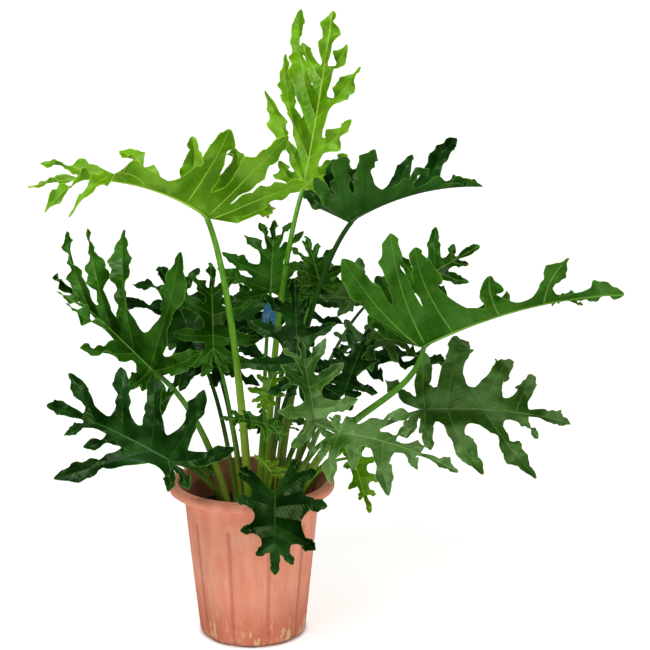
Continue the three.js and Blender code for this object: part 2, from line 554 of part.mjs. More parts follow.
// Both faces of the blade get the same triangles, and walls close it all round.
function thicken(points, faces, ribs) {
  const normals = points.map(() => new THREE.Vector3());
  for (const [a, b, c] of faces) {
    const across = points[c].clone().sub(points[a]);
    const normal = points[b].clone().sub(points[a]).cross(across);
    for (const i of [a, b, c]) normals[i].add(normal);
  }
  normals.forEach((n, i) => n.copy(ribs[i]?.normal ?? n).normalize());
  const count = points.length;
  const moved = (by) => points.map((p, i) => p.clone().addScaledVector(normals[i], by(i)));
  const upper = moved(() => BLADE_THICK / 2);
  const lower = moved((i) => -BLADE_THICK / 2 - (ribs[i]?.depth ?? 0));
  const solid = [...faces, ...faces.map(([a, b, c]) => [c + count, b + count, a + count])];
  const used = new Set(faces.flatMap(([a, b, c]) => [`${a},${b}`, `${b},${c}`, `${c},${a}`]));
  for (const pair of used) {
    const [a, b] = pair.split(",").map(Number);
    if (!used.has(`${b},${a}`)) solid.push([b, a, a + count], [b, a + count, b + count]);
  }
  return geometryFrom([...upper, ...lower], solid);
}

// The stalk rises from the soil, leans outwards and meets the blade's underside at the joint.
function stalkCurve(leaf) {
  const { along, up } = leaf.axes;
  const depth = leaf.stalk[1];
  const foot = new THREE.Vector3(...leaf.foot, SOIL.top - STALK_DEPTH);
  const end = new THREE.Vector3(...leaf.joint);
  end.addScaledVector(along, depth * 1.3).addScaledVector(up, -depth * 0.75);
  const [out1, up1, out2, up2] = leaf.lean ?? [0.2, 0.55, 0.62, 0.88];
  const between = (out, rise) =>
    new THREE.Vector3(mix(foot.x, end.x, out), mix(foot.y, end.y, out), mix(foot.z, end.z, rise));
  return new THREE.CubicBezierCurve3(foot, between(out1, up1), between(out2, up2), end);
}

function stalkTube(leaf, grow) {
  const [thick, thin] = leaf.stalk;
  return tube(leaf.curve, (t) => mix(thick, thin, t ** 0.8) + grow, STALK_SIDES, STALK_STEPS);
}

function makeLeaf(leaf) {
  const solid = toSolid(stalkTube(leaf, 0)).add(toSolid(bladeGeometry(leaf)));
  return named(leaf.name, toGeometry(solid), TONES[leaf.tone]);
}

// A sleeve of tape round the stalk, with two tails that hang down in front of it.
function makeTie() {
  const leaf = LEAVES.find(({ name }) => name === TIE.leaf);
  const [low, high] = [TIE.step, TIE.step + 1].map((i) => leaf.curve.getPointAt(i / STALK_STEPS));
  const inner = mix(...leaf.stalk, (TIE.step / STALK_STEPS) ** 0.8) + TIE.gap;
  const outer = inner + TIE.thick;
  const ring = new THREE.Shape().absarc(0, 0, outer, 0, 2 * Math.PI);
  ring.holes.push(new THREE.Path().absarc(0, 0, inner, 0, 2 * Math.PI));
  const shape = { depth: TIE.width, bevelEnabled: false, curveSegments: 8 };
  const sleeve = new THREE.ExtrudeGeometry(ring, shape);
  let tie = toSolid(sleeve.translate(0, 0, -TIE.width / 2));
  for (const [spread, turned] of TIE.tails) {
    const tail = new THREE.BoxGeometry(TIE.tailWidth, TIE.thick, TIE.tail, 1, 1, 3);
    const position = tail.attributes.position;
    for (let i = 0; i < position.count; i++) {
      const share = 0.5 - position.getZ(i) / TIE.tail;
      position.setY(i, position.getY(i) - 5 * share * share);
      position.setX(i, position.getX(i) * (1 - 0.35 * share));
    }
    tail.translate(0, 0, -TIE.tail / 2).rotateX(radians(turned)).rotateY(radians(spread));
    tie = tie.add(toSolid(tail.translate(0, TIE.thick / 2 - outer, 0)));
  }
  const place = low.clone().lerp(high, 0.5);
  const along = high.clone().sub(low).normalize();
  const turn = new THREE.Quaternion().setFromUnitVectors(new THREE.Vector3(0, 0, 1), along);
  return named("blue_tie", toGeometry(tie).applyQuaternion(turn).translate(...place.toArray()), TIE_TAPE);
}

function makeSoil() {
  let soil = toSolid(soilGeometry());
  for (const leaf of LEAVES) soil = soil.subtract(toSolid(stalkTube(leaf, HOLE_GAP)));
  return named("soil", toGeometry(soil), SOIL_EARTH);
}

LEAVES.forEach((leaf, i) => {
  leaf.seed = i + 1;
  leaf.axes = bladeAxes(leaf);
  leaf.curve = stalkCurve(leaf);
});

const plant = new THREE.Group();
plant.add(makePot(), makeSoil(), makeTie(), ...LEAVES.map(makeLeaf));

export default plant;
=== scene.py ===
"""A lacy tree philodendron in a fluted terracotta-coloured plastic pot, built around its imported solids.

The leaves follow the same rule as the solids: a plan of lobes in the flat, folded, drooped and curled
in space. Lengths in the tables are millimetres, and Blender's are metres.
"""

import math

import bpy
import numpy as np
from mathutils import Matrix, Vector


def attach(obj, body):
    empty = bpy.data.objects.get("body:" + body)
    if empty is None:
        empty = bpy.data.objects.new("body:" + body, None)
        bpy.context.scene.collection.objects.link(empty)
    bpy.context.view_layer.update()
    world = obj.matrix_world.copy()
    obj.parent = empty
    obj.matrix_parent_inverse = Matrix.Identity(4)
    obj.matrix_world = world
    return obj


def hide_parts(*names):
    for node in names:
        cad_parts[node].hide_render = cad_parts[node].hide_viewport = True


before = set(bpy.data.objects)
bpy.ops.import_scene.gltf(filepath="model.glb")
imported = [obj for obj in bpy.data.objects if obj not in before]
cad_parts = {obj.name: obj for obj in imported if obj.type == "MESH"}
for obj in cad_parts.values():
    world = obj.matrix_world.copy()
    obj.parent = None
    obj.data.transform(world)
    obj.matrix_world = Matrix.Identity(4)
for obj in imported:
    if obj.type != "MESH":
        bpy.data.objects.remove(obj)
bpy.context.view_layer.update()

bl_info = {
    "name": "Potted lacy tree philodendron",
    "version": (1, 0, 0),
    "blender": (4, 5, 0),
    "location": "3D View > Sidebar > Philodendron",
    "description": "Grows the leaves, pot, soil and tie of a potted lacy tree philodendron",
    "category": "Object",
}

MM = 0.001
BODY = "root"

# The pot: a tapered body with ten flat flutes, a plain collar and a wide rolled rim.
POT_HEIGHT = 256
POT_FOOT_RADIUS = 89
POT_TOP_RADIUS = 109
POT_RIM_RADIUS = 135
POT_RIM_WIDTH = 18
POT_RIM_HEIGHT = 14
POT_WALL = 3.5
POT_FLOOR = 5
FLUTES = 10
FLUTE_DEPTH = 3
FLUTE_TOP = 212
DRAINS = 5
DRAIN_WIDTH = 24
DRAIN_HEIGHT = 4

# The soil, the gap round it, and the crumbs that lie on it.
SOIL_TOP = 204
SOIL_MOUND = 9
SOIL_LUMP = 3.5
SOIL_GAP = 0.4
SMALLEST_CRUMB = 0.9
CRUMB_REACH = 92
CRUMB_FORM = (1.3, 0.8, 0.55)

# How deep the stalks stand in the soil, and how round the stalks and the veins are.
STALK_DEPTH = 26
STALK_SIDES = 14
VEIN_SIDES = 6

# The tie: its leaf, the share of the way up the stalk, its gap and thickness, and for each tail the
# angle it hangs at, how far it leans out, its width and length, and a number for its creases.
TIE_LEAF = "leaf_upper_centre"
TIE_AT = 6.5 / 7
TIE_GAP = 0.5
TIE_THICK = 0.9
TIE_TAILS = [(30, 0.6, 17, 40, 0.4), (-8, 1.2, 16, 36, 2.1)]

# The blade's relief. As shape: the groove along a lobe's vein, and the frill on its ripple. As bump: the
# fields, the skin's grain, the lobe's channel and the crumpled blade. Side veins stray by up to 9 mm.
GROOVE_DEPTH = 0.6
GROOVE_WIDTH = 2.6
FRILL = 0.3
FRILL_RATE = 2.7
FIELD_SWELL = 0.35
SKIN_GRAIN = 0.15
LOBE_CHANNEL = 0.4
BLADE_CRUMPLE = 18
VEIN_STRAY = 9
# A leaf of this length or more has its markings at full size.
MARKS_LENGTH = 230
UPPER_ROUGHNESS = 0.34
UNDER_ROUGHNESS = 0.48

# How the blade's net closes up towards the veins and the tips.
COLUMN_EASE = 1.25
ROW_EASE = 1.6

# The stage. The camera was found from the pot's rim and foot: its place, how far it looks down in
# degrees, and its focal length and the picture's width in pixels. Each lamp has its place, its size and
# its share of the main light.
CAMERA_PLACE = (0.119, -2.2, 0.955)
CAMERA_DROP = 11.4
FOCAL_PIXELS = 1410
PHOTO_PIXELS = 650
SENSOR = 36
LIT_PLACE = (0.1, 0.0, 0.5)
LIGHTS = [("main_light", (-0.7, -1.1, 2.8), 1.7, 1), ("fill_light", (1.7, -2.6, 1.3), 1.6, 0.3)]
BACKDROP = 0.94
FLOOR_GLOW = 0.55
WHITE = (1.0, 1.0, 1.0, 1.0)

SMOOTH = {"interpolation_type": "SMOOTHSTEP"}
# Light soaks furthest into a leaf as green, less as red and hardly as blue.
SOAKED = {"Subsurface_Radius": (0.5, 1.0, 0.15), "Subsurface_Scale": 3 * MM}

# One half of a blade in the flat, in shares of the leaf's length: where the lobe leaves the midrib,
# the angle it points at, its reach, half its width, and how far out the notch beside it lies.
LOBES = [
    (0, 0, 150, 0.46, 0.046, 0.4),
    (0, 0.05, 119, 0.54, 0.05, 0.36),
    (0.05, 0.27, 93, 0.55, 0.054, 0.3),
    (0.27, 0.5, 70, 0.5, 0.05, 0.27),
    (0.5, 0.7, 52, 0.38, 0.044, 0.25),
]
# The lobe at the blade's tip, and how far a lobe's vein swings out on its way, in degrees.
END_FROM, END_REACH, END_HALF, END_NOTCH = 0.7, 0.3, 0.048, 0.25
BOW = 10


def both(*values):
    """The same numbers for the left and the right half of a blade."""
    return [values, values]


def leaf(name, tone, joint, foot, length, heading, rise, droop, fold, sag, stalk, **more):
    """One leaf's place and posture, as the solids have them. Angles are in degrees. gain and turn give
    each lobe's own reach and angle, and lean the two points that bend the stalk, as shares of its way."""
    row = {
        "roll": 0, "rear": 0, "sweep": 0, "rear_sweep": 0, "fold_end": fold, "web": (1, 1),
        "gain": both(1, 1, 1, 1, 1), "turn": both(0, 0, 0, 0, 0), "lean": (0.2, 0.55, 0.62, 0.88),
    }
    row.update(name=name, tone=tone, joint=joint, foot=foot, length=length, heading=heading, rise=rise)
    row.update(droop=droop, fold=fold, sag=sag, stalk=stalk, **more)
    return row


LEAVES = [
    leaf("leaf_top_left", "young", (-53, -80, 691), (-2, -14), 290, 203, 37, 50, (84, 62), 25, (8, 4.2),
         fold_end=(-15, 10), rear_sweep=34, sweep=22, web=(0.6, 0.6),
         gain=[[1.15, 1.3, 1.1, 1.1, 1.25], [1.5, 1.3, 0.9, 0.75, 0.9]],
         turn=[[0, 0, 8, -24, -8], [12, 4, 10, 20, 0]]),
    leaf("leaf_top", "young", (84, 92, 722), (18, 10), 300, 62, 67, -6, (-22, 20), 15, (7.5, 3.6),
         rear=10, fold_end=(6, 15), rear_sweep=60, sweep=50, web=(0.8, 0.8),
         gain=[[0.8, 1.1, 1.45, 1.45, 0.75], [0.7, 0.65, 0.7, 0.8, 0.6]],
         turn=[[-28, -34, -22, -16, 20], [10, 6, 4, 6, 14]]),
    leaf("leaf_top_right", "grown", (154, -70, 685), (38, -8), 222, 12, 30, 34, (55, 80), 20, (6.5, 3.6),
         fold_end=(45, 10), rear_sweep=48, sweep=18, web=(1.2, 0.8),
         gain=[[1, 1, 0.9, 0.75, 1.4], [0.8, 0.9, 0.9, 0.8, 1]],
         turn=[[0, 0, 8, 0, 16], [0, 0, 0, 0, 0]]),
    leaf("leaf_right", "bright", (268, -40, 484), (62, -22), 366, 18, 22, 24, (62, 86), 15, (8, 4.2),
         fold_end=(-35, 72), rear_sweep=34, sweep=12, web=(1.35, 0.5), lean=[0.2, 0.7, 0.91, 0.65],
         gain=[[0.6, 0.7, 0.65, 0.55, 1.1], [1.1, 1, 0.95, 0.42, 0.6]],
         turn=[[0, 0, 0, 0, -6], [-6, 3, 19, 40, 30]]),
    leaf("leaf_right_low", "pale", (278, 60, 356), (54, 16), 275, 6, 2, 28, (12, 12), 22, (6.5, 3.6),
         roll=38, rear=-20, rear_sweep=25, web=(0.8, 0.8), lean=[0.22, 0.62, 0.62, 0.9],
         gain=[[0.6, 0.85, 1.45, 1.35, 1], [0.55, 0.65, 1.1, 1.05, 0.6]],
         turn=[[0, -12, -22, -8, 0], [0, 0, -16, -4, 0]]),
    leaf("leaf_front_right", "pale", (138, -204, 392), (48, -44), 192, -30, 2, 30, (8, 8), 30, (6, 3.3),
         roll=25, rear_sweep=32, sweep=10, web=(1.1, 0.8),
         gain=[[0.5, 0.55, 0.9, 0.5, 0.5], [0.65, 0.85, 0.75, 1.15, 0.5]],
         turn=[[0, -8, -32, -14, 0], [-26, -20, -16, -6, 0]]),
    leaf("leaf_centre_front", "pale", (104, -144, 388), (36, -28), 145, 112, 70, 25, (42, 36), 25, (6, 3.3),
         rear=10, web=(1.1, 0.8), gain=[[0.8, 0.8, 1, 1, 1], [0.6, 0.8, 0.9, 1, 1]],
         turn=[[0, 0, 0, 0, 0], [-24, -6, 0, 0, 0]]),
    leaf("leaf_centre", "grown", (77, -87, 445), (22, -14), 160, 96, 80, 25, (10, 10), 30, (5.5, 3),
         rear=10, gain=[[0.5, 0.6, 1, 1, 1], [0.8, 0.9, 0.9, 0.8, 0.65]],
         turn=[[0, 0, 0, 0, 0], [0, 0, 0, 0, -20]]),
    leaf("leaf_centre_right", "pale", (180, 20, 480), (52, 2), 100, -8, 10, 30, (10, 10), 30, (5, 2.8),
         roll=35, gain=both(1.2, 1.2, 1.1, 1, 1)),
    leaf("leaf_right_back", "pale", (195, 150, 519), (54, 32), 150, 165, 12, 20, (30, 70), 25, (4.5, 2.4),
         roll=-20, sweep=10, gain=[[0.7, 0.8, 1, 1, 1], [1, 1.1, 1, 1, 1]]),
    leaf("leaf_upper_centre", "bright", (29, 95, 548), (14, 32), 150, 88, 50, 10, (35, 35), 20, (5, 2.6),
         rear_sweep=40, sweep=25, web=(1.2, 1), gain=both(1, 1.1, 1.1, 1, 1)),
    leaf("leaf_centre_young", "bright", (112, 4, 572), (34, 14), 100, 110, 52, 10, (20, 20), 10, (4.5, 2.4),
         roll=10, rear_sweep=40, sweep=25, web=(1.3, 1),
         gain=[[0.8, 0.9, 1.1, 1, 0.8], [0.65, 0.8, 0.9, 1, 0.8]]),
    leaf("leaf_left_back", "grown", (-95, 66, 462), (-24, 18), 205, 118, 44, 24, (14, 12), 35, (5, 2.8),
         roll=-10, gain=[[1, 1, 1, 1, 1], [0.9, 0.9, 1, 1, 1]]),
    leaf("leaf_back_left", "grown", (-44, 165, 459), (-6, 30), 180, 66, 38, 30, (10, 10), 35, (4.5, 2.5),
         gain=[[0.7, 0.7, 0.8, 1, 1], [1, 1, 1, 1, 1]]),
    leaf("leaf_left", "bright", (-155, -15, 440), (-32, -8), 300, 138, 28, 12, (56, 60), 25, (7, 3.8),
         roll=-38, rear_sweep=20, sweep=30, web=(0.85, 0.6),
         gain=[[0.8, 0.62, 0.75, 0.6, 0.6], [0.95, 1.25, 1.25, 1.32, 1.3]],
         turn=[[20, 15, 20, 0, 0], [0, -15, -25, -12, -8]]),
    leaf("leaf_left_low", "grown", (-110, -178, 339), (-28, -32), 230, 162, 26, 22, (0, 50), 28, (6.5, 3.6),
         roll=-30, sweep=14, web=(0.9, 0.75),
         gain=[[0.45, 0.5, 1.35, 0.6, 0.6], [0.9, 0.9, 0.85, 1, 1.05]],
         turn=[[0, 0, -34, -4, 10], [-15, -35, -22, 0, 0]]),
    leaf("leaf_pot_front", "grown", (44, -184, 290), (16, -62), 122, 270, -80, 4, (4, 4), 12, (4.5, 2.8),
         lean=[0.1, 0.62, 0.72, 1.12], web=(1.9, 2),
         gain=[[1.2, 1.25, 1.3, 1.25, 1], [1.25, 1.05, 0.9, 0.8, 0.8]],
         turn=[[-2, 4, -4, -16, -10], [-26, 2, 8, 6, 4]]),
    leaf("leaf_small_light", "young", (26, -40, 402), (8, -1), 64, 60, 60, 20, (20, 20), 10, (3.6, 2.2),
         web=(1.3, 1.2), gain=both(0.7, 0.8, 0.9, 0.9, 0.9)),
    leaf("leaf_small_dark", "bright", (36, -126, 380), (14, -38), 80, 196, 25, 30, (10, 10), 20, (4, 2.2),
         roll=-20, web=(1.4, 1.3), gain=both(0.8, 0.9, 0.9, 0.9, 0.9)),
    leaf("leaf_right_under", "young", (162, -80, 318), (62, -42), 92, -48, -62, 10, (30, 30), 10, (4, 2.2),
         roll=20, web=(1.5, 1.6), lean=[0.18, 0.75, 0.62, 0.98],
         gain=[[0.65, 0.62, 0.65, 0.7, 0.65], [0.65, 0.62, 0.65, 0.75, 0.65]]),
    leaf("leaf_in_pot", "bright", (-72, 28, 262), (-52, 20), 46, 200, 25, 10, (15, 15), 10, (2.6, 1.6),
         roll=-20, web=(1.4, 1.4)),
    leaf("leaf_foot_young", "young", (38, -100, 296), (26, -70), 58, 240, 50, 20, (20, 20), 10, (3.4, 2),
         web=(1.4, 1.4), gain=both(0.7, 0.8, 0.9, 0.9, 0.9)),
    leaf("leaf_right_upper", "bright", (262, 205, 534), (66, 48), 150, 8, 32, 15, (15, 15), 20, (4.5, 2.4),
         roll=60, web=(1.2, 0.9), lean=[0.19, 0.57, 0.76, 0.79],
         gain=[[0.55, 0.6, 0.75, 1.1, 0.55], [0.55, 0.55, 0.6, 0.8, 0.5]],
         turn=[[0, 0, 0, -14, 0], [0, 0, 0, -8, 0]]),
    leaf("leaf_left_inner", "bright", (-60, 6, 470), (-16, 3), 145, 94, 74, 16, (34, 26), 30, (4.4, 2.5),
         roll=10, web=(0.9, 0.8), gain=[[0.7, 0.75, 1, 1.1, 1], [0.7, 0.8, 1, 1, 1]]),
    leaf("leaf_rear_left", "grown", (-72, 225, 395), (-16, 48), 225, 118, 18, 45, (15, 15), 30, (6, 3.3)),
    leaf("leaf_rear", "grown", (62, 260, 480), (26, 56), 235, 78, 24, 50, (15, 15), 30, (6, 3.5)),
    leaf("leaf_rear_right", "grown", (190, 217, 396), (44, 54), 215, 40, 12, 45, (15, 15), 30, (6, 3.3)),
    leaf("leaf_rear_low", "bright", (24, 158, 300), (8, 62), 140, 92, 4, 50, (12, 12), 30, (5, 3),
         gain=both(0.7, 0.75, 1, 1, 1)),
    leaf("leaf_right_inner", "grown", (150, -50, 412), (50, -11), 115, 48, 62, 14, (30, 30), 30, (4, 2.4),
         roll=10, rear_sweep=30, web=(1.1, 0.9), gain=both(0.8, 0.8, 0.9, 1, 1)),
]


def mix(a, b, t):
    return a + (b - a) * t


def chance(a, b):
    """A repeatable number from 0 to 1 for each pair of numbers, the same as the solids use."""
    wave = math.sin(a * 127.1 + b * 311.7) * 43758.5453
    return wave - math.floor(wave)


def unit(v):
    return v / np.linalg.norm(v, axis=-1, keepdims=True)


def blade_axes(row):
    """The blade's way ahead, to its left and up at the joint."""
    heading, rise, roll = (math.radians(row[key]) for key in ("heading", "rise", "roll"))
    along = np.array([math.cos(heading) * math.cos(rise), math.sin(heading) * math.cos(rise), math.sin(rise)])
    level = np.array([-math.sin(heading), math.cos(heading), 0.0])
    face = np.cross(along, level)
    left = level * math.cos(roll) + face * math.sin(roll)
    up = face * math.cos(roll) - level * math.sin(roll)
    return along, left, up


def blade_point(row, side, x, y, lift):
    """Places of the blade in space for its places in the flat and its lift off the surface."""
    along, left, up = row["axes"]
    size = row["length"]
    degrees = np.where(x < 0, 2 * row["rear"], row["droop"]).astype(float)
    bend = np.radians(np.where(degrees == 0, 0.01, degrees)) / size
    turn = bend * np.abs(x)
    forward = np.sign(x) * np.sin(turn) / bend
    down = (1 - np.cos(turn)) / bend
    over = up * np.cos(turn)[..., None] + along * (np.sign(x) * np.sin(turn))[..., None]
    half = 0 if side > 0 else 1
    ahead = np.clip(x / size, 0, 1)
    fold = np.radians(mix(row["fold"][half], row["fold_end"][half], ahead))
    sag = math.radians(row["sag"]) / (0.55 * size)
    tilt = fold - sag * y
    outward = (np.sin(fold) - np.sin(tilt)) / sag
    raised = (np.cos(tilt) - np.cos(fold)) / sag
    place = np.array(row["joint"], float) + along * forward[..., None] - up * down[..., None]
    place = place + left * (side * (outward - lift * np.sin(tilt)))[..., None]
    return place + over * (raised + lift * np.cos(tilt))[..., None]


class Lobe:
    """One lobe of a blade in the flat. Its vein is a curve through three points."""

    def __init__(self, seed, start, stop, half, reach, notch, vein, is_end=False):
        self.seed, self.start, self.stop = seed, start, stop
        self.half, self.reach, self.notch = half, reach, notch
        self.vein, self.is_end = [np.array(p, float) for p in vein], is_end
        self.rear_vein = self.front_vein = self.rear_notch = self.front_notch = None

    def at(self, t):
        """Places along the vein, from the midrib (0) to the tip (1)."""
        a, b, c = self.vein
        t = np.asarray(t, float)[..., None]
        return a * (1 - t) ** 2 + 2 * b * t * (1 - t) + c * t**2

    def heading(self, t):
        """The way the vein runs at each place along it."""
        a, b, c = self.vein
        t = np.asarray(t, float)[..., None]
        return unit(2 * (b - a) * (1 - t) + 2 * (c - b) * t)


def small_leaf_width(row):
    """How much broader a leaf's lobes are for its size. Leaves under 210 mm have broader ones."""
    return 1 + 0.28 * min(1, max(0, (210 - row["length"]) / 100))


def half_plan(row, side):
    """The lobes of one half of the blade in the flat, with the notches between them."""
    lobes = []
    half_index = 0 if side > 0 else 1
    base = row["seed"] * 20 + 10 * half_index
    broader = small_leaf_width(row)
    for k, (start, stop, degrees, reach, half, notch) in enumerate(LOBES):
        seed = base + k
        gain = row["gain"][half_index][k] * mix(0.88, 1.1, chance(seed, 1))
        swept = row["sweep" if k > 1 else "rear_sweep"] * (1 - 0.1 * k)
        angle = degrees + mix(-5, 5, chance(seed, 2)) - swept + row["turn"][half_index][k]
        root = np.array([mix(start, stop, 0.5), 0.0])

        def aim(share, turned):
            way = math.radians(angle + turned)
            return root + reach * gain * share * np.array([math.cos(way), math.sin(way)])

        vein = (root, aim(0.5, BOW), aim(1, 0))
        web = notch * mix(*row["web"], k / 4)
        broad = half * mix(1, gain, 0.5) * broader
        lobes.append(Lobe(seed, start, stop, broad, reach * gain, web, vein))
    first, last = END_FROM, END_FROM + END_REACH
    vein = ((first, 0), ((first + last) / 2, 0), (last, 0))
    lobes.append(Lobe(base + 8, first, first, END_HALF * broader, END_REACH, END_NOTCH, vein, is_end=True))
    for lobe, after in zip(lobes, lobes[1:]):
        lobe.front_notch = (lobe.at(lobe.notch) + after.at(after.notch)) / 2
        lobe.front_vein = after
        after.rear_notch = lobe.front_notch
        after.rear_vein = lobe
    lobes[0].rear_notch = edge_point(lobes[0], -1, np.array([0.0]))[0]
    return lobes


def half_width(lobe, u):
    """How wide half a lobe is from its notch (0) to its tip (1). Some tips are blunt, others drawn out."""
    blunt = mix(2.5, 6, chance(lobe.seed, 6))
    return (0.88 + 0.26 * np.sin(np.pi * u**1.1)) * (1 - u**blunt) ** 0.6


def teeth(lobe, edge, u):
    """The long waves of a lobe's edge, which fade towards its tip."""
    waves = mix(1.3, 2.1, chance(lobe.seed, 3))
    return 1 + 0.2 * (1 - 0.5 * u) * np.sin(2 * np.pi * (waves * u + chance(lobe.seed, 4 + edge)))


def clearance(lobe, spots):
    """How far each place is from the lobe's vein, in the flat."""
    line = lobe.at(np.linspace(0, 1, 25))
    return np.linalg.norm(spots[..., None, :] - line, axis=-1).min(-1)


def edge_point(lobe, edge, u):
    """Places on a lobe's rear (-1) or front (1) edge in the flat, from its notch (0) to its tip (1)."""
    t = mix(lobe.notch, 1, u)
    middle, way = lobe.at(t), lobe.heading(t)
    beside = lobe.front_vein if edge > 0 else lobe.rear_vein
    room = 0.44 * clearance(beside, middle) if beside else 1
    half = edge * np.minimum(room, lobe.half * half_width(lobe, u) * teeth(lobe, edge, u))
    plain = middle + half[..., None] * np.stack([way[..., 1], -way[..., 0]], -1)
    notch = lobe.front_notch if edge > 0 else lobe.rear_notch
    if notch is None:
        return plain
    hold = np.where(u < 0.3, (1 - u / 0.3) ** 2, 0)[..., None]
    return mix(plain, notch, hold)


def lift_parts(lobe, u):
    """A lobe's curl along its vein and the wave of its edges, in shares of the leaf's length."""
    curl = mix(-0.5, 0.42, chance(lobe.seed, 8)) * 0.4
    wave = 0.035 * np.sin(2 * np.pi * (1.4 * u + chance(lobe.seed, 9)))
    wave = wave * np.minimum(1, u * 3) * (1 - u**3)
    if lobe.is_end:
        return np.zeros_like(u), -0.5 * wave
    return curl * lobe.reach * u * u, wave


class Net:
    """Gathers grids of points and their faces, with what the paint needs to know at each point."""

    def __init__(self):
        self.points, self.facts, self.faces, self.count = [], [], [], 0

    def grid(self, points, facts, turned):
        """Adds a grid. Its faces look the other way if it is turned."""
        rows, columns = points.shape[:2]
        index = np.arange(rows * columns).reshape(rows, columns) + self.count
        corners = [index[:-1, :-1], index[:-1, 1:], index[1:, 1:], index[1:, :-1]]
        quads = np.stack(corners, -1).reshape(-1, 4)
        self.faces.append(quads[:, ::-1] if turned else quads)
        self.points.append(points.reshape(-1, 3))
        self.facts.append(facts.reshape(-1, facts.shape[-1]))
        self.count += rows * columns

    def joined(self):
        """The points without doubles, which of them each corner uses, the faces and the facts."""
        points, facts = np.concatenate(self.points), np.concatenate(self.facts)
        keys = np.round(points * 1000).astype(np.int64)
        _, first, place = np.unique(keys, axis=0, return_index=True, return_inverse=True)
        return points[first], place.reshape(-1), np.concatenate(self.faces), facts


def spread(rear, middle, front, c):
    """Points from the rear edge (-1) over the vein (0) to the front edge (1)."""
    c = c[None, :, None]
    back = mix(middle[:, None], rear[:, None], -c)
    ahead = mix(middle[:, None], front[:, None], c)
    return np.where(c < 0, back, ahead)


def fine_edge(lobe, edge, u):
    """The solid's edge with a second, shorter run of teeth on it."""
    plain = edge_point(lobe, edge, u)
    middle = lobe.at(mix(lobe.notch, 1, u))
    count = mix(3.4, 5.6, chance(lobe.seed, 14 + edge))
    short = 0.08 * np.sin(2 * np.pi * (count * u + chance(lobe.seed, 12 + edge)))
    swell = 1 + short * np.clip(u * 5 - 0.6, 0, 1) * np.clip(5 - 5 * u, 0, 1)
    return mix(middle, plain, swell[:, None])


def blade_net(row):
    """One smooth net for the blade's face, and the lines that its veins follow."""
    size = row["length"]
    across, web_rows, lobe_rows = row["detail"]
    net, veins = Net(), []
    for side in (1, -1):
        for k, lobe in enumerate(half_plan(row, side)):
            columns = np.linspace(-1, 0 if lobe.is_end else 1, (across // 2 if lobe.is_end else across) + 1)
            c = np.sign(columns) * np.abs(columns) ** COLUMN_EASE
            s = np.linspace(0, 1, web_rows + 1)
            u = 1 - (1 - np.linspace(0, 1, lobe_rows + 1)) ** ROW_EASE
            # the web, from the midrib to the notches
            start, stop = np.array([lobe.start, 0.0]), np.array([lobe.stop, 0.0])
            web_middle = lobe.at(lobe.notch * s)
            rear_line = mix(start, lobe.rear_notch, s[:, None])
            front_line = web_middle if lobe.is_end else mix(stop, lobe.front_notch, s[:, None])
            web = spread(rear_line, web_middle, front_line, c)
            # the free length of the lobe
            free_middle = lobe.at(mix(lobe.notch, 1, u))
            front_line = free_middle if lobe.is_end else fine_edge(lobe, 1, u)
            free = spread(fine_edge(lobe, -1, u), free_middle, front_line, c)
            flat = np.concatenate([web, free[1:]]) * size
            middle = np.concatenate([web_middle, free_middle[1:]]) * size
            out = np.sign(c) * np.linalg.norm(flat - middle[:, None], axis=-1)
            half = np.where(c < 0, np.abs(out[:, :1]), np.abs(out[:, -1:]))
            run = np.concatenate([s * lobe.notch, mix(lobe.notch, 1, u)[1:]]) * lobe.reach * size
            curl, wave = lift_parts(lobe, u)
            lift = np.zeros(out.shape)
            lift[web_rows:] = (curl[:, None] + wave[:, None] * c) * size
            lift += relief(row, lobe, c, out, run, s, u)
            # the way to the margin: through the web it leads to the notch
            root_ways = np.array([np.linalg.norm(lobe.rear_notch - start), 0.0])
            if not lobe.is_end:
                root_ways[1] = np.linalg.norm(lobe.front_notch - stop)
            way = np.where(c < 0, root_ways[0], root_ways[-1]) * size
            if k == 0:
                way = way * np.where(c < 0, 1 - np.abs(c), 1)
            gap = (1 - np.abs(c)) * half
            gap[: web_rows + 1] += (1 - s)[:, None] * way
            place = blade_point(row, side, flat[..., 0], flat[..., 1], lift)
            run = np.broadcast_to(run[:, None], out.shape)
            facts = [out, run, gap, np.abs(flat[..., 1]), flat[..., 0]]
            net.grid(place, np.stack(facts, -1), side < 0)
            if not lobe.is_end:
                centre = across // 2
                share = run[:, centre] / (lobe.reach * size)
                thick = mix(row["stalk"][1] * 0.3, 0.22, share**0.6)
                sunk = lift[:, centre] - 0.35 * thick
                line = blade_point(row, side, flat[:, centre, 0], flat[:, centre, 1], sunk)
                veins.append((line[: int(len(line) * 0.97)], thick, 1 + share))
    return net, veins


def relief(row, lobe, c, out, run, s, u):
    """The blade's fine form: a groove along each vein, lobes bent up at their sides, rippled edges."""
    ripple, pitch = row["ripple"]
    free = np.minimum(1, u[1:] * 4) * (1 - u[1:] ** 5)
    rise = np.concatenate([np.zeros(len(s)), free])[:, None]
    phase = run[:, None] / pitch + chance(lobe.seed, 11) + 0.37 * (c > 0)
    frill = FRILL * np.abs(c) ** 2 * np.sin(2 * np.pi * (FRILL_RATE * phase + chance(lobe.seed, 17)))
    waved = ripple * np.abs(c) ** 2.2 * (np.sin(2 * np.pi * phase) + frill) * rise
    bent = mix(-0.12, 0.5, chance(lobe.seed, 15)) * np.abs(out) * np.abs(c) ** 0.5 * rise
    if lobe.is_end:
        return waved + bent
    deep = np.concatenate([s, np.ones(len(u) - 1)])[:, None]
    groove = GROOVE_DEPTH * np.exp(-((out / GROOVE_WIDTH) ** 2)) * (1 - np.abs(c)) * deep
    return waved + bent - groove


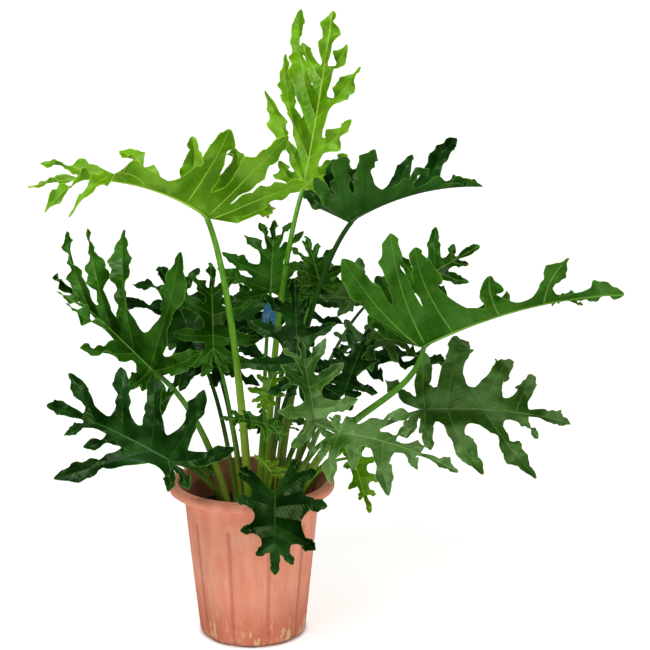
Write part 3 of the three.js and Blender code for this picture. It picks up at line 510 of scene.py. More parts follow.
def rib_way(row, x):
    """The way up from the midrib, halfway between the two halves' own ways up."""
    flat = np.zeros_like(x)
    ways = [
        blade_point(row, side, x, flat, flat + 1) - blade_point(row, side, x, flat, flat) for side in (1, -1)]
    return unit(sum(ways))


def stalk_path(row):
    """The stalk's centre line from the soil to the joint, as points at even steps along it."""
    along, _, up = row["axes"]
    thin = row["stalk"][1]
    foot = np.array([*row["foot"], SOIL_TOP - STALK_DEPTH], float)
    end = np.array(row["joint"], float) + along * thin * 1.3 - up * thin * 0.75
    out1, up1, out2, up2 = row["lean"]
    a = np.array([*mix(foot[:2], end[:2], out1), mix(foot[2], end[2], up1)])
    b = np.array([*mix(foot[:2], end[:2], out2), mix(foot[2], end[2], up2)])
    t = np.linspace(0, 1, 401)[:, None]
    fine = foot * (1 - t) ** 3 + 3 * a * t * (1 - t) ** 2 + 3 * b * t**2 * (1 - t) + end * t**3
    steps = np.concatenate([[0], np.cumsum(np.linalg.norm(np.diff(fine, axis=0), axis=1))])
    share = np.linspace(0, 1, 49)
    points = np.stack([np.interp(share * steps[-1], steps, fine[:, k]) for k in range(3)], -1)
    thick = mix(*row["stalk"], share**0.8)
    # the last points lead into the midrib
    ahead = thin * np.array([2.2, 4.5])
    flat = np.zeros_like(ahead)
    spine = blade_point(row, 1, ahead, flat, flat) - rib_way(row, ahead) * thin * 0.45
    points = np.concatenate([points, spine])
    thick = np.concatenate([thick, thin * np.array([0.8, 0.3])])
    return points, thick, np.concatenate([share, [1, 1]])


def midrib_path(row):
    """The midrib's line under the blade, its thickness, and the share that tells it from the stalk."""
    q = np.linspace(0, 0.985, 36)
    x = q * row["length"]
    flat = np.zeros_like(x)
    thick = 0.5 * row["stalk"][1] * (1 - q) ** 1.1 + 0.35
    spine = blade_point(row, 1, x, flat, flat)
    return spine - rib_way(row, x) * (0.45 * thick)[:, None], thick, 1 + 0.6 * q


def keep_values(mesh, name, values):
    """Stores a number at each of the mesh's points, for the finishes and the node trees to read."""
    layer = mesh.attributes.new(name, "FLOAT", "POINT")
    layer.data.foreach_set("value", np.asarray(values, np.float32))


def leaf_mesh(row, settings):
    """The blade as two faces with a rim between them, and the stalk, midrib and veins as lines."""
    net, veins = blade_net(row)
    points, place, quads, facts = net.joined()
    corners = place[quads]
    a, b, c, d = (points[corners[:, k]] for k in range(4))
    crossed = np.cross(c - a, d - b)
    normals = np.zeros_like(points)
    for k in range(4):
        np.add.at(normals, corners[:, k], crossed)
    spine = np.unique(place[np.abs(facts[:, 3]) < 1e-6])
    where = np.zeros(len(points))
    where[place] = facts[:, 4]
    # along the midrib, where the two halves meet at an angle, both faces move the same way
    normals[spine] = rib_way(row, where[spine])
    normals = unit(normals)
    count = len(points)
    half = settings.blade_thickness / MM / 2
    solid = np.concatenate([points + normals * half, points - normals * half])
    # the upper face; used holds each edge of its quads, with the two corners that carry its paint
    faces, paint = [], []
    used = {}
    for quad, raw in zip(corners.tolist(), quads.tolist()):
        ring = [(p, r) for n, (p, r) in enumerate(zip(quad, raw)) if p != quad[n - 1]]
        if len(ring) < 3:
            continue
        faces.append([p for p, _ in ring])
        paint.append([r for _, r in ring])
        for n, (p, r) in enumerate(ring):
            used[ring[n - 1][0], p] = (ring[n - 1][1], r)
    upper = len(faces)
    # the lower face, then the rim along the edges that only one face uses
    for ring, raw in list(zip(faces, paint)):
        faces.append([p + count for p in reversed(ring)])
        paint.append(list(reversed(raw)))
    sharp = set()
    for (a, b), (ra, rb) in used.items():
        if (b, a) not in used:
            faces.append([b, a, a + count, b + count])
            paint.append([rb, ra, ra, rb])
            sharp.update([(min(a, b), max(a, b)), (min(a, b) + count, max(a, b) + count)])
    spots, edges, total = [solid], [], len(solid)
    thick, run = [np.zeros(total)], [np.zeros(total)]
    for line, radius, share in (stalk_path(row), midrib_path(row), *veins):
        spots.append(line)
        thick.append(radius[: len(line)])
        run.append(share[: len(line)])
        edges += [(total + n, total + n + 1) for n in range(len(line) - 1)]
        total += len(line)
    mesh = bpy.data.meshes.new(row["name"] + "_fine")
    mesh.from_pydata((np.concatenate(spots) * MM).tolist(), edges, faces)
    mesh.polygons.foreach_set("material_index", (np.arange(len(faces)) >= upper).astype(np.int32))
    # small leaves have their markings drawn finer
    marks = facts[np.concatenate(paint)] * np.clip(MARKS_LENGTH / row["length"], 1, 2.2)
    for name, columns in (("veins", [0, 1]), ("margins", [2, 3])):
        layer = mesh.uv_layers.new(name=name)
        layer.data.foreach_set("uv", marks[:, columns].astype(np.float32).ravel())
    keep_values(mesh, "thick", np.concatenate(thick) * MM)
    keep_values(mesh, "run", np.concatenate(run))
    hard = mesh.attributes.new("sharp_edge", "BOOLEAN", "EDGE")
    hard.data.foreach_set("value", [edge.key in sharp for edge in mesh.edges])
    mesh.shade_smooth()
    return mesh


def feed(tree, socket, value):
    """Links a socket to a node or another socket, or sets it to a value."""
    if isinstance(value, bpy.types.Node):
        value = next(output for output in value.outputs if output.enabled)
    if isinstance(value, bpy.types.NodeSocket):
        tree.links.new(value, socket)
    else:
        socket.default_value = value


def add(tree, kind, inputs=(), **settings):
    """Adds a node with its settings. A kind without Node in its name is a shader node. The inputs go by
    name or in their own order, and each is linked to a node or socket, or set to a value."""
    node = tree.nodes.new(kind if "Node" in kind else "ShaderNode" + kind)
    for name, value in settings.items():
        setattr(node, name, value)
    for name, value in inputs.items() if isinstance(inputs, dict) else enumerate(inputs):
        feed(tree, node.inputs[name], value)
    return node


def linear(hex_colour):
    """An sRGB hex colour as linear numbers, with alpha."""
    parts = [int(hex_colour[k : k + 2], 16) / 255 for k in (1, 3, 5)]
    return (*[p / 12.92 if p <= 0.04045 else ((p + 0.055) / 1.055) ** 2.4 for p in parts], 1.0)


def colour_property(name, description, hex_colour):
    """A colour that the panel offers."""
    return bpy.props.FloatVectorProperty(
        name=name, description=description, subtype="COLOR", size=4, default=linear(hex_colour), min=0, max=1)


def length_property(name, description, size, least=0, most=1000):
    """A length that the panel offers, with its default and limits in millimetres."""
    return bpy.props.FloatProperty(
        name=name, description=description, default=size * MM, min=least * MM, max=most * MM, unit="LENGTH")


def grain(across, along):
    """The scale that draws a pattern out: its size across and up the piece, in millimetres."""
    return 1 / (across * MM), 1 / (across * MM), 1 / (along * MM)


def new_finish(name):
    """A material, its node tree and the piece's own coordinates."""
    material = bpy.data.materials.new(name)
    material.use_nodes = True
    tree = material.node_tree
    return material, tree, add(tree, "TexCoord").outputs["Object"]


def finish(material, **inputs):
    """Links or sets each input of the material's shader on its own socket."""
    tree = material.node_tree
    for name, value in inputs.items():
        feed(tree, tree.nodes["Principled BSDF"].inputs[name.replace("_", " ")], value)
    return material


# The four ages of leaf. deep is the blade's darker green, vein and edge its pale lines, painted_sheen the
# grey of a sheen painted on in patches, under and under_light its lower face, and stalk and foot the stalk's
# two ends.
# sheen_share is how strongly that painted sheen covers the blade, glow how much light soaks through, and rim
# how pale the margin is.
TONES = {
    "young": {
        "deep": "#457A00", "vein": "#AED442", "edge": "#B4DA3C", "painted_sheen": "#98C244",
        "under": "#4B7F02", "under_light": "#629A06", "stalk": "#55960A", "foot": "#92AE26",
        "sheen_share": 0.3, "glow": 0.1, "rim": 0.6, "slot": "young_leaf",
    },
    "bright": {
        "deep": "#133A00", "vein": "#7DAE3C", "edge": "#7EB436", "painted_sheen": "#4C8034",
        "under": "#235A02", "under_light": "#3A6E0A", "stalk": "#478610", "foot": "#89A12C",
        "sheen_share": 0.35, "glow": 0.2, "rim": 0.5, "slot": "bright_leaf",
    },
    "pale": {
        "deep": "#284F0E", "vein": "#78A050", "edge": "#84B05A", "painted_sheen": "#7A9C60",
        "under": "#3C6426", "under_light": "#567C3A", "stalk": "#3A6814", "foot": "#96A838",
        "sheen_share": 0.5, "glow": 0.12, "rim": 0.6, "slot": "pale_leaf",
    },
    "grown": {
        "deep": "#042000", "vein": "#2A5A16", "edge": "#5E9A34", "painted_sheen": "#32642A",
        "under": "#1F4A06", "under_light": "#2E6010", "stalk": "#1F4A08", "foot": "#708A24",
        "sheen_share": 0.34, "glow": 0.08, "rim": 0.45, "slot": "grown_leaf",
    },
}


def leaf_skin(name, tone, deep, light, wax, pitch):
    """Living leaf with a waxy skin: a soft broad gloss, grey patches of painted sheen, pale veins that fork
    off each lobe's own vein, swollen fields between them, a thin light margin, and light that soaks a little
    way through."""
    material, tree, place = new_finish(name)
    (across, run), (gap, rib) = (
        add(tree, "SeparateXYZ", [add(tree, "UVMap", uv_map=layer)]).outputs[:2]
        for layer in ("veins", "margins"))
    patches, mottle, wobble, sheen_patches, crumple = (
        add(tree, "TexNoise", {"Vector": place, "Scale": 1 / (size * MM), "Detail": detail})
        for size, detail in ((62, 4), (7, 3), (38, 2), (60, 3), (36, 1)))
    out = add(tree, "Math", [across], operation="ABSOLUTE")
    # forking side veins, a little over a centimetre apart, half a step out of line on the two sides
    ahead = add(tree, "Math", [out, -0.85, run], operation="MULTIPLY_ADD")
    other = add(tree, "Math", [across, 0], operation="GREATER_THAN")
    shifted = add(tree, "Math", [other, pitch / 2, ahead], operation="MULTIPLY_ADD")
    strayed = add(tree, "Math", [wobble, VEIN_STRAY, shifted], operation="MULTIPLY_ADD")
    turns = add(tree, "Math", [strayed, 1 / pitch], operation="MULTIPLY")
    part = add(tree, "Math", [turns], operation="FRACT")
    centred = add(tree, "Math", [part, 0.5], operation="SUBTRACT")
    field = add(tree, "Math", [centred], operation="ABSOLUTE")
    side_line = add(tree, "MapRange", [field, 0.43, 0.5, 0, 1], **SMOOTH)
    kept = add(tree, "MapRange", [gap, 1, 7, 0, 0.13], **SMOOTH)
    lines = add(tree, "Math", [side_line, kept], operation="MULTIPLY")
    # the lobe's own vein and the midrib
    width = add(tree, "MapRange", [run, 0, 140, 1.9, 0.6])
    ratio = add(tree, "Math", [out, width], operation="DIVIDE")
    lobe_vein = add(tree, "MapRange", [ratio, 1, 0.3, 0, 0.42], **SMOOTH)
    midrib = add(tree, "MapRange", [rib, 2.2, 1, 0, 0.7], **SMOOTH)
    for vein in (lobe_vein, midrib):
        lines = add(tree, "Math", [lines, vein], operation="MAXIMUM")
    margin = add(tree, "MapRange", [gap, 1.3, 0.4, 0, tone["rim"]], **SMOOTH)
    # colour: patches and specks of the two greens, a grey painted sheen in patches over them, then veins and
    # margin
    shade = add(tree, "MapRange", [patches, 0.36, 0.64, 0, 1], **SMOOTH)
    speck = add(tree, "MapRange", [mottle, 0.3, 0.7, 0, 0.3])
    # painted sheen: grey patches laid over the green where the noise is high, in place of a reflection
    painted_sheen = add(tree, "MapRange", [sheen_patches, 0.4, 0.64, 0, tone["sheen_share"]], **SMOOTH)
    green = deep
    for share, colour in (
        (shade, light), (speck, light), (painted_sheen, linear(tone["painted_sheen"])),
        (lines, linear(tone["vein"])), (margin, linear(tone["edge"])),
    ):
        green = add(tree, "Mix", {0: share, 6: green, 7: colour}, data_type="RGBA")
    # relief in mm: fields swell between the side veins, the skin has a faint grain, each lobe is
    # channelled along its vein, and the whole blade is a little crumpled
    height = add(tree, "MapRange", [field, 0.5, 0.1, 0, FIELD_SWELL], **SMOOTH)
    for form, amount in ((mottle, SKIN_GRAIN), (out, LOBE_CHANNEL), (crumple, BLADE_CRUMPLE)):
        height = add(tree, "Math", [form, amount, height], operation="MULTIPLY_ADD")
    bump = add(tree, "Bump", {"Strength": 1, "Distance": MM, "Height": height})
    rough = add(tree, "MapRange", [patches, 0.3, 0.7, wax, wax + 0.12])
    return finish(
        material, Base_Color=green, Roughness=rough, Normal=bump, **SOAKED, Subsurface_Weight=tone["glow"],
        Specular_IOR_Level=0.3, Specular_Tint=linear("#C8F0A0"), Coat_Weight=0.12, Coat_Roughness=0.2)


def stalk_skin(name, tone):
    """Smooth fleshy leaf stalk: yellow-green where it leaves the soil, green above, faintly streaked
    along its length, with a satin gloss. It also covers the raised ribs under the blade."""
    material, tree, place = new_finish(name)
    run = add(tree, "Attribute", attribute_name="run").outputs["Fac"]
    long_way = add(tree, "Mapping", {0: place, "Scale": grain(3, 45)})
    streaks = add(tree, "TexNoise", {"Vector": long_way, "Scale": 1, "Detail": 3})
    patches = add(tree, "TexNoise", {"Vector": place, "Scale": 1 / (50 * MM), "Detail": 2})
    # from the foot's colour to the stalk's, with pale streaks and dark patches, and pale ribs past its end
    low = add(tree, "MapRange", [run, 0.2, 0.7, 0, 1], **SMOOTH)
    lit = add(tree, "MapRange", [streaks, 0.45, 0.75, 0, 0.4])
    dark = add(tree, "MapRange", [patches, 0.5, 0.8, 0, 0.5])
    high = add(tree, "MapRange", [run, 1, 1.08, 0, 0.8])
    green = linear(tone["foot"])
    for share, colour in ((low, "stalk"), (lit, "vein"), (dark, "deep"), (high, "vein")):
        green = add(tree, "Mix", {0: share, 6: green, 7: linear(tone[colour])}, data_type="RGBA")
    bump = add(tree, "Bump", {"Strength": 0.3, "Distance": 0.4 * MM, "Height": streaks})
    rough = add(tree, "MapRange", [streaks, 0.3, 0.7, 0.34, 0.46])
    return finish(material, Base_Color=green, Roughness=rough, Normal=bump, **SOAKED, Subsurface_Weight=0.15)


def weathered_pot_plastic(plain, chalk):
    """Injection-moulded terracotta-coloured plastic, gone matt outdoors: chalky where it is handled,
    darker and stained near the foot, with beige mineral runs left by water, and brown inside."""
    material, tree, place = new_finish("weathered_terracotta_plastic")
    height = add(tree, "SeparateXYZ", [place]).outputs["Z"]
    streaks, runs = (
        add(tree, "TexNoise", {"Vector": add(tree, "Mapping", {0: place, "Scale": grain(*size)}), "Scale": 1,
                               "Detail": detail, "Roughness": rough})
        for size, detail, rough in (((16, 95), 5, 0.6), ((7, 34), 4, 0.65)))
    clouds = add(tree, "TexNoise", {"Vector": place, "Scale": 1 / (45 * MM), "Detail": 5, "Roughness": 0.6})
    grit = add(tree, "TexNoise", {"Vector": place, "Scale": 1 / (1.6 * MM), "Detail": 2})
    faded = add(tree, "MapRange", [streaks, 0.35, 0.68, 0.2, 0.75], **SMOOTH)
    chalky = add(tree, "MapRange", [clouds, 0.48, 0.72, 0, 0.55], **SMOOTH)
    # stains near the foot
    low = add(tree, "MapRange", [height, 105 * MM, 12 * MM, 0, 1], **SMOOTH)
    stained = add(tree, "MapRange", [clouds, 0.3, 0.6, 0.35, 0.95])
    stain = add(tree, "Math", [low, stained], operation="MULTIPLY")
    # the pot is painted darker in the grooves between the panels
    sunk = add(tree, "Attribute", attribute_name="groove").outputs["Fac"]
    groove_darkening = add(tree, "MapRange", [sunk, 0.78, 1, 0, 0.6], **SMOOTH)
    # runs of salt, strongest at the very foot
    salt = runs
    foot = add(tree, "MapRange", [height, 66 * MM, 10 * MM, 0, 1], **SMOOTH)
    for form, amount in ((foot, 0.2), (clouds, 0.3)):
        salt = add(tree, "Math", [form, amount, salt], operation="MULTIPLY_ADD")
    salt = add(tree, "MapRange", [salt, 0.83, 0.93, 0, 0.8], **SMOOTH)
    inner = add(tree, "Attribute", attribute_name="inside").outputs["Fac"]
    inner = add(tree, "Math", [inner, 0.7], operation="MULTIPLY")
    colour = plain
    for share, over in (
        (faded, chalk), (chalky, linear("#E3A98C")), (stain, linear("#C2694B")), (groove_darkening, linear("#B4573C")),
        (salt, linear("#DDBB8E")), (inner, linear("#8A5238")),
    ):
        colour = add(tree, "Mix", {0: share, 6: colour, 7: over}, data_type="RGBA")
    bumps = add(tree, "Math", [grit, 0.5, streaks], operation="MULTIPLY_ADD")
    bump = add(tree, "Bump", {"Strength": 0.35, "Distance": 0.5 * MM, "Height": bumps})
    rough = add(tree, "MapRange", [clouds, 0.3, 0.7, 0.56, 0.76])
    return finish(material, Base_Color=colour, Roughness=rough, Normal=bump, Specular_IOR_Level=0.4)


def peat_soil(name, dark, light, damp):
    """Damp peat and bark: nearly black, crumbly and without gloss, with browner bits."""
    material, tree, place = new_finish(name)
    bits = add(tree, "TexNoise", {"Vector": place, "Scale": 1 / (6 * MM), "Detail": 6, "Roughness": 0.7})
    share = add(tree, "MapRange", [bits, 0.4, 0.68, 0, 1])
    colour = add(tree, "Mix", {0: share, 6: dark, 7: light}, data_type="RGBA")
    bump = add(tree, "Bump", {"Strength": 0.9, "Distance": 2 * MM, "Height": bits})
    rough = add(tree, "MapRange", [bits, 0.3, 0.7, damp, 0.98])
    return finish(material, Base_Color=colour, Roughness=rough, Normal=bump)


def blue_tape(dark):
    """Thin stretched plastic tape: blue, a little shiny, paler where it is pulled tight."""
    material, tree, place = new_finish("stretched_blue_tape")
    pulled = add(tree, "Mapping", {0: place, "Scale": grain(9, 2.5)})
    creases = add(tree, "TexNoise", {"Vector": pulled, "Scale": 1, "Detail": 3})
    share = add(tree, "MapRange", [creases, 0.4, 0.7, 0, 1])
    colour = add(tree, "Mix", {0: share, 6: dark, 7: linear("#4C96BE")}, data_type="RGBA")
    bump = add(tree, "Bump", {"Strength": 0.6, "Distance": 0.5 * MM, "Height": creases})
    rough = add(tree, "MapRange", [creases, 0.3, 0.7, 0.3, 0.45])
    return finish(material, Base_Color=colour, Roughness=rough, Normal=bump)


def pale_floor():
    """Matt white-painted studio sweep, faintly uneven, that glows a little, with a painted contact shadow
    where its glow fades away under the pot.
    """
    material, tree, place = new_finish("matt_white_studio_sweep")
    uneven = add(tree, "TexNoise", {"Vector": place, "Scale": 1.3, "Detail": 2})
    colour = add(tree, "Mix", {0: uneven, 6: linear("#F4F4F2"), 7: linear("#F8F8F7")}, data_type="RGBA")
    rough = add(tree, "MapRange", [uneven, 0.3, 0.7, 0.85, 0.95])
    # painted contact shadow: the glow fades to nothing from just outside the pot's foot to under it
    away = add(tree, "VectorMath", [place], operation="LENGTH").outputs["Value"]
    under, clear = (POT_FOOT_RADIUS - 5) * MM, (POT_FOOT_RADIUS + 3) * MM
    glow = add(tree, "MapRange", [away, under, clear, 0, FLOOR_GLOW])
    return finish(
        material, Base_Color=colour, Roughness=rough, Emission_Strength=glow, Emission_Color=WHITE)


def new_shape(name, *inputs):
    """A geometry node tree with its input and output, and the sockets that give its inputs."""
    tree = bpy.data.node_groups.new(name, "GeometryNodeTree")
    for label, kind in (("Geometry", "Geometry"), *inputs):
        tree.interface.new_socket(label, in_out="INPUT", socket_type="NodeSocket" + kind)
    tree.interface.new_socket("Geometry", in_out="OUTPUT", socket_type="NodeSocketGeometry")
    return tree, add(tree, "NodeGroupInput").outputs


def ribs_tree():
    """Geometry nodes that turn the blade's loose lines into a round stalk and tapered veins."""
    tree, given = new_shape(
        "stalk_and_veins", ("Stalk sides", "Int"), ("Vein sides", "Int"), ("Skin", "Material"))
    run, thick, rib = (
        add(tree, "GeometryNodeInputNamedAttribute", {"Name": name}, data_type=kind)
        for name, kind in (("run", "FLOAT"), ("thick", "FLOAT"), ("rib", "BOOLEAN")))
    beside = add(tree, "GeometryNodeInputMeshEdgeNeighbors")
    loose = add(tree, "FunctionNodeCompare", {2: beside, 3: 0}, data_type="INT", operation="EQUAL")
    parts = add(tree, "GeometryNodeSeparateGeometry", [given["Geometry"], loose], domain="EDGE")
    past = add(tree, "FunctionNodeCompare", [run, 1.005], data_type="FLOAT", operation="GREATER_THAN")
    kinds = add(tree, "GeometryNodeSeparateGeometry", [parts.outputs[0], past], domain="POINT")
    join = add(tree, "GeometryNodeJoinGeometry")
    for lines, sides in ((kinds.outputs[1], "Stalk sides"), (kinds.outputs[0], "Vein sides")):
        curve = add(tree, "GeometryNodeMeshToCurve", [lines])
        ring = add(tree, "GeometryNodeCurvePrimitiveCircle", {"Resolution": given[sides], "Radius": 1})
        tubes = add(tree, "GeometryNodeCurveToMesh",
                    {"Curve": curve, "Profile Curve": ring, "Scale": thick, "Fill Caps": True})
        soft = add(tree, "GeometryNodeSetShadeSmooth", [tubes])
        marked = add(tree, "GeometryNodeStoreNamedAttribute", {0: soft, "Name": "rib", "Value": True},
                     data_type="BOOLEAN", domain="FACE")
        tree.links.new(marked.outputs[0], join.inputs[0])
    tree.links.new(parts.outputs[1], join.inputs[0])
    real = add(tree, "GeometryNodeRealizeInstances", [join])
    skin = add(tree, "GeometryNodeSetMaterial", [real, rib, given["Skin"]])
    add(tree, "NodeGroupOutput", [skin])
    return tree


def crumbs_tree():
    """Geometry nodes that strew crumbs of bark and peat over the soil's top."""
    tree, given = new_shape(
        "crumbs_on_soil", ("Crumbs per square metre", "Float"), ("Smallest", "Float"), ("Largest", "Float"),
        ("Reach", "Float"), ("Seed", "Int"), ("Bark", "Material"))
    spot = add(tree, "GeometryNodeInputPosition")
    flat = add(tree, "VectorMath", [spot, (1, 1, 0)], operation="MULTIPLY")
    radius = add(tree, "VectorMath", [flat], operation="LENGTH").outputs["Value"]
    height = add(tree, "SeparateXYZ", [spot]).outputs["Z"]
    there = add(tree, "FunctionNodeBooleanMath", [
        add(tree, "FunctionNodeCompare", [radius, given["Reach"]], data_type="FLOAT", operation="LESS_THAN"),
        add(tree, "FunctionNodeCompare", [height, (SOIL_TOP - 14) * MM], data_type="FLOAT",
            operation="GREATER_THAN")], operation="AND")
    spots = add(tree, "GeometryNodeDistributePointsOnFaces",
                {"Mesh": given["Geometry"], "Selection": there,
                 "Density": given["Crumbs per square metre"], "Seed": given["Seed"]})
    crumb = add(tree, "GeometryNodeMeshIcoSphere", {"Radius": 1, "Subdivisions": 1})
    crumb = add(tree, "GeometryNodeTransform", {"Geometry": crumb, "Scale": CRUMB_FORM})
    turn = add(tree, "FunctionNodeRandomValue", {0: (0, 0, 0), 1: (6.28, 6.28, 6.28), "Seed": 3},
               data_type="FLOAT_VECTOR")
    size = add(tree, "FunctionNodeRandomValue", {2: given["Smallest"], 3: given["Largest"], "Seed": 5},
               data_type="FLOAT")
    strewn = add(tree, "GeometryNodeInstanceOnPoints",
                 {"Points": spots, "Instance": crumb, "Rotation": turn, "Scale": size})
    real = add(tree, "GeometryNodeRealizeInstances", [strewn])
    skin = add(tree, "GeometryNodeSetMaterial", {0: real, 2: given["Bark"]})
    add(tree, "NodeGroupOutput", [skin])
    return tree


def new_piece(name, mesh, *materials):
    """An object at the origin in the scene, with its materials."""
    piece = bpy.data.objects.new(name, mesh)
    for material in materials:
        piece.data.materials.append(material)
    bpy.context.scene.collection.objects.link(piece)
    return piece


def settle(piece, tree, values):
    """Runs a node tree on the piece once and keeps the result as its plain mesh."""
    modifier = piece.modifiers.new("shape", "NODES")
    modifier.node_group = tree
    for item in tree.interface.items_tree:
        if item.name in values:
            modifier[item.identifier] = values[item.name]
    graph = bpy.context.evaluated_depsgraph_get()
    mesh = bpy.data.meshes.new_from_object(piece.evaluated_get(graph), depsgraph=graph)
    piece.modifiers.clear()
    old = piece.data
    piece.data = mesh
    mesh.name = piece.name
    bpy.data.meshes.remove(old)
    return piece


def seat(piece, slot, *nodes):
    """The piece moves with the plant and stands for its solids, which are hidden. The slot is not used."""
    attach(piece, BODY)
    if nodes:
        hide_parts(*nodes)


def rounded(profile, steps=4):
    """A profile with each inner corner swept round within its own radius."""
    points = [profile[0][:2]]
    for before, (r, z, radius), after in zip(profile, profile[1:], profile[2:]):
        corner = np.array([r, z], float)
        a, b = np.array(before[:2]) - corner, np.array(after[:2]) - corner
        if radius <= 0:
            points.append((r, z))
            continue
        first, last = corner + unit(a) * radius, corner + unit(b) * radius
        for t in np.linspace(0, 1, steps + 1):
            points.append(tuple(first * (1 - t) ** 2 + 2 * corner * t * (1 - t) + last * t**2))
    points.append(profile[-1][:2])
    return np.array(points, float)


def pot_rings(profile, turns, depth):
    """Radius and height of the pot's surface at each place of its profile and each turn, and how deep
    that place lies in the groove between two panels."""
    r, z = profile[:, 0][:, None], profile[:, 1][:, None]
    angle = turns[None, :]
    outside = np.arange(len(profile))[:, None] < outside_count(profile)
    panel = np.abs(np.sin(FLUTES * angle / 2))
    # the grooves run out in arches below the collar, and just above the foot
    fade = np.clip((FLUTE_TOP + 7 * panel - z) / 14, 0, 1) * np.clip(z / 4, 0, 1)
    soft = np.sqrt(panel**2 + 0.02) - 0.1
    groove = np.where(outside & (r > 60), (1 - soft) * fade, 0)
    shape = r - depth * groove
    drain = np.zeros_like(angle)
    for k in range(DRAINS):
        middle = -math.pi / 2 + 2 * math.pi * k / DRAINS
        apart = (angle - middle + math.pi) % (2 * math.pi) - math.pi
        reach = np.clip(1 - (apart * POT_FOOT_RADIUS / (DRAIN_WIDTH / 2)) ** 2, 0, 1)
        drain = np.maximum(drain, DRAIN_HEIGHT * np.sqrt(reach))
    lifted = np.where(outside & (r > 63), np.maximum(z, drain), z + 0 * angle)
    return shape, lifted, groove


def outside_count(profile):
    """How many places of the profile lie on the pot's outside, up to its highest."""
    return int(np.argmax(profile[:, 1])) + 1


def sloped(start, stop, shares):
    """Places on the straight line from one place of the profile to another."""
    return [(mix(start[0], stop[0], t), mix(start[1], stop[1], t), 0) for t in shares]


def pot_mesh(depth):
    """The pot: its profile from the foot's centre up the outside, over the rim and down the inside."""
    lip = POT_RIM_RADIUS - POT_RIM_WIDTH
    ledge = POT_HEIGHT - POT_RIM_HEIGHT
    heel = (POT_FOOT_RADIUS, 10)
    waist = (mix(POT_FOOT_RADIUS, POT_TOP_RADIUS, 0.5), FLUTE_TOP / 2)
    collar = (POT_TOP_RADIUS - 1, FLUTE_TOP - 14)
    mouth = (POT_TOP_RADIUS - POT_WALL, ledge - 5)
    bottom = (POT_FOOT_RADIUS - POT_WALL - FLUTE_DEPTH, POT_FLOOR + 6)
    line = rounded([
        (0, 0, 0), (62, 0, 0), (80, 0, 3), (POT_FOOT_RADIUS - 2.5, 4, 1.5), (*heel, 2),
        *sloped(heel, waist, (0.15, 0.3, 0.5, 0.7, 0.85, 1)),
        *sloped(waist, collar, (0.2, 0.4, 0.6, 0.8)),
        *[(collar[0] + 0.1 * n, collar[1] + 2 * n, 0) for n in range(12)],
        (POT_TOP_RADIUS + 0.8, FLUTE_TOP + 12, 0), (POT_TOP_RADIUS + 2, ledge - 4, 2.5),
        (POT_RIM_RADIUS - 5, ledge - 1.5, 2), (POT_RIM_RADIUS - 0.8, ledge + 1.5, 2),
        (POT_RIM_RADIUS, POT_HEIGHT - 5, 2.5), (POT_RIM_RADIUS - 3.5, POT_HEIGHT - 0.8, 2),
        (POT_RIM_RADIUS - 9, POT_HEIGHT - 0.3, 1), (lip + 3, POT_HEIGHT, 1.6), (lip, POT_HEIGHT - 3, 2),
        (*mouth, 3), *sloped(mouth, bottom, (0.1, 0.2, 0.4, 0.7)),
        (*bottom, 2), (bottom[0] - 6, POT_FLOOR, 2), (0, POT_FLOOR, 0),
    ])
    count = 240
    turns = np.linspace(0, 2 * math.pi, count, endpoint=False)
    shape, height, groove = pot_rings(line, turns, depth)
    places = np.stack([shape * np.cos(turns), shape * np.sin(turns), height], -1)
    mesh = turned_mesh("pot_fine", places)
    # the two poles close the lists: the first is outside, the last inside
    within = np.repeat(np.arange(1, len(line) - 1) >= outside_count(line), count)
    keep_values(mesh, "inside", [*within, 0, 1])
    keep_values(mesh, "groove", [*groove[1:-1].ravel(), 0, 0])
    return mesh


def new_mesh(name, places, faces, smooth=False):
    """A mesh from places in metres and its faces."""
    mesh = bpy.data.meshes.new(name)
    mesh.from_pydata(np.asarray(places).tolist(), [], faces)
    if smooth:
        mesh.shade_smooth()
    return mesh


def turned_mesh(name, places):
    """A closed mesh from rings of places. The first and the last ring are poles."""
    rings, count = places.shape[:2]
    body = places[1:-1].reshape(-1, 3)
    first, last, end = len(body), len(body) + 1, len(body) - count
    faces = []
    for i in range(rings - 3):
        for j in range(count):
            a, b = i * count + j, i * count + (j + 1) % count
            faces.append((a, b, b + count, a + count))
    for j in range(count):
        after = (j + 1) % count
        faces += [(first, after, j), (last, end + j, end + after)]
    return new_mesh(name, np.concatenate([body, places[:1, 0], places[-1:, 0]]) * MM, faces, smooth=True)


def soil_mesh():
    """The soil's solid with a finer, lumpier top."""
    inner = POT_FOOT_RADIUS - POT_WALL - FLUTE_DEPTH
    floor, ledge = POT_FLOOR + 6, POT_HEIGHT - POT_RIM_HEIGHT - 5
    at = (SOIL_TOP - 6 - floor) / (ledge - floor)
    reach = mix(inner, POT_TOP_RADIUS - POT_WALL, at) - SOIL_GAP
    turns = np.linspace(0, 2 * math.pi, 120, endpoint=False)
    share, angle = np.linspace(1, 0, 44)[:, None], turns[None, :]
    lumps = np.sin(3 * angle + 5 * share) + np.sin(7 * angle - 9 * share + 1)
    x, y = share * reach * np.cos(angle), share * reach * np.sin(angle)
    crumbly = np.sin(x * 0.31 + 1.3 * np.sin(y * 0.17)) * np.sin(y * 0.27 + 1.1 * np.sin(x * 0.23))
    crumbly = crumbly + 0.6 * np.sin(x * 0.83 + y * 0.41) * np.sin(y * 0.77 - x * 0.36)
    z = SOIL_TOP + SOIL_MOUND * (1 - share**2) + (0.5 * SOIL_LUMP * lumps + 1.1 * crumbly) * share
    z = np.where(share > 0.99, np.minimum(z, SOIL_TOP - 1), z)
    foot = inner - SOIL_GAP
    low = np.stack([foot * np.cos(turns), foot * np.sin(turns), np.full(len(turns), POT_FLOOR + 6.5)], -1)
    places = np.concatenate([[low * [0, 0, 1]], [low], np.stack([x, y, z], -1)])
    return turned_mesh("soil_fine", places)


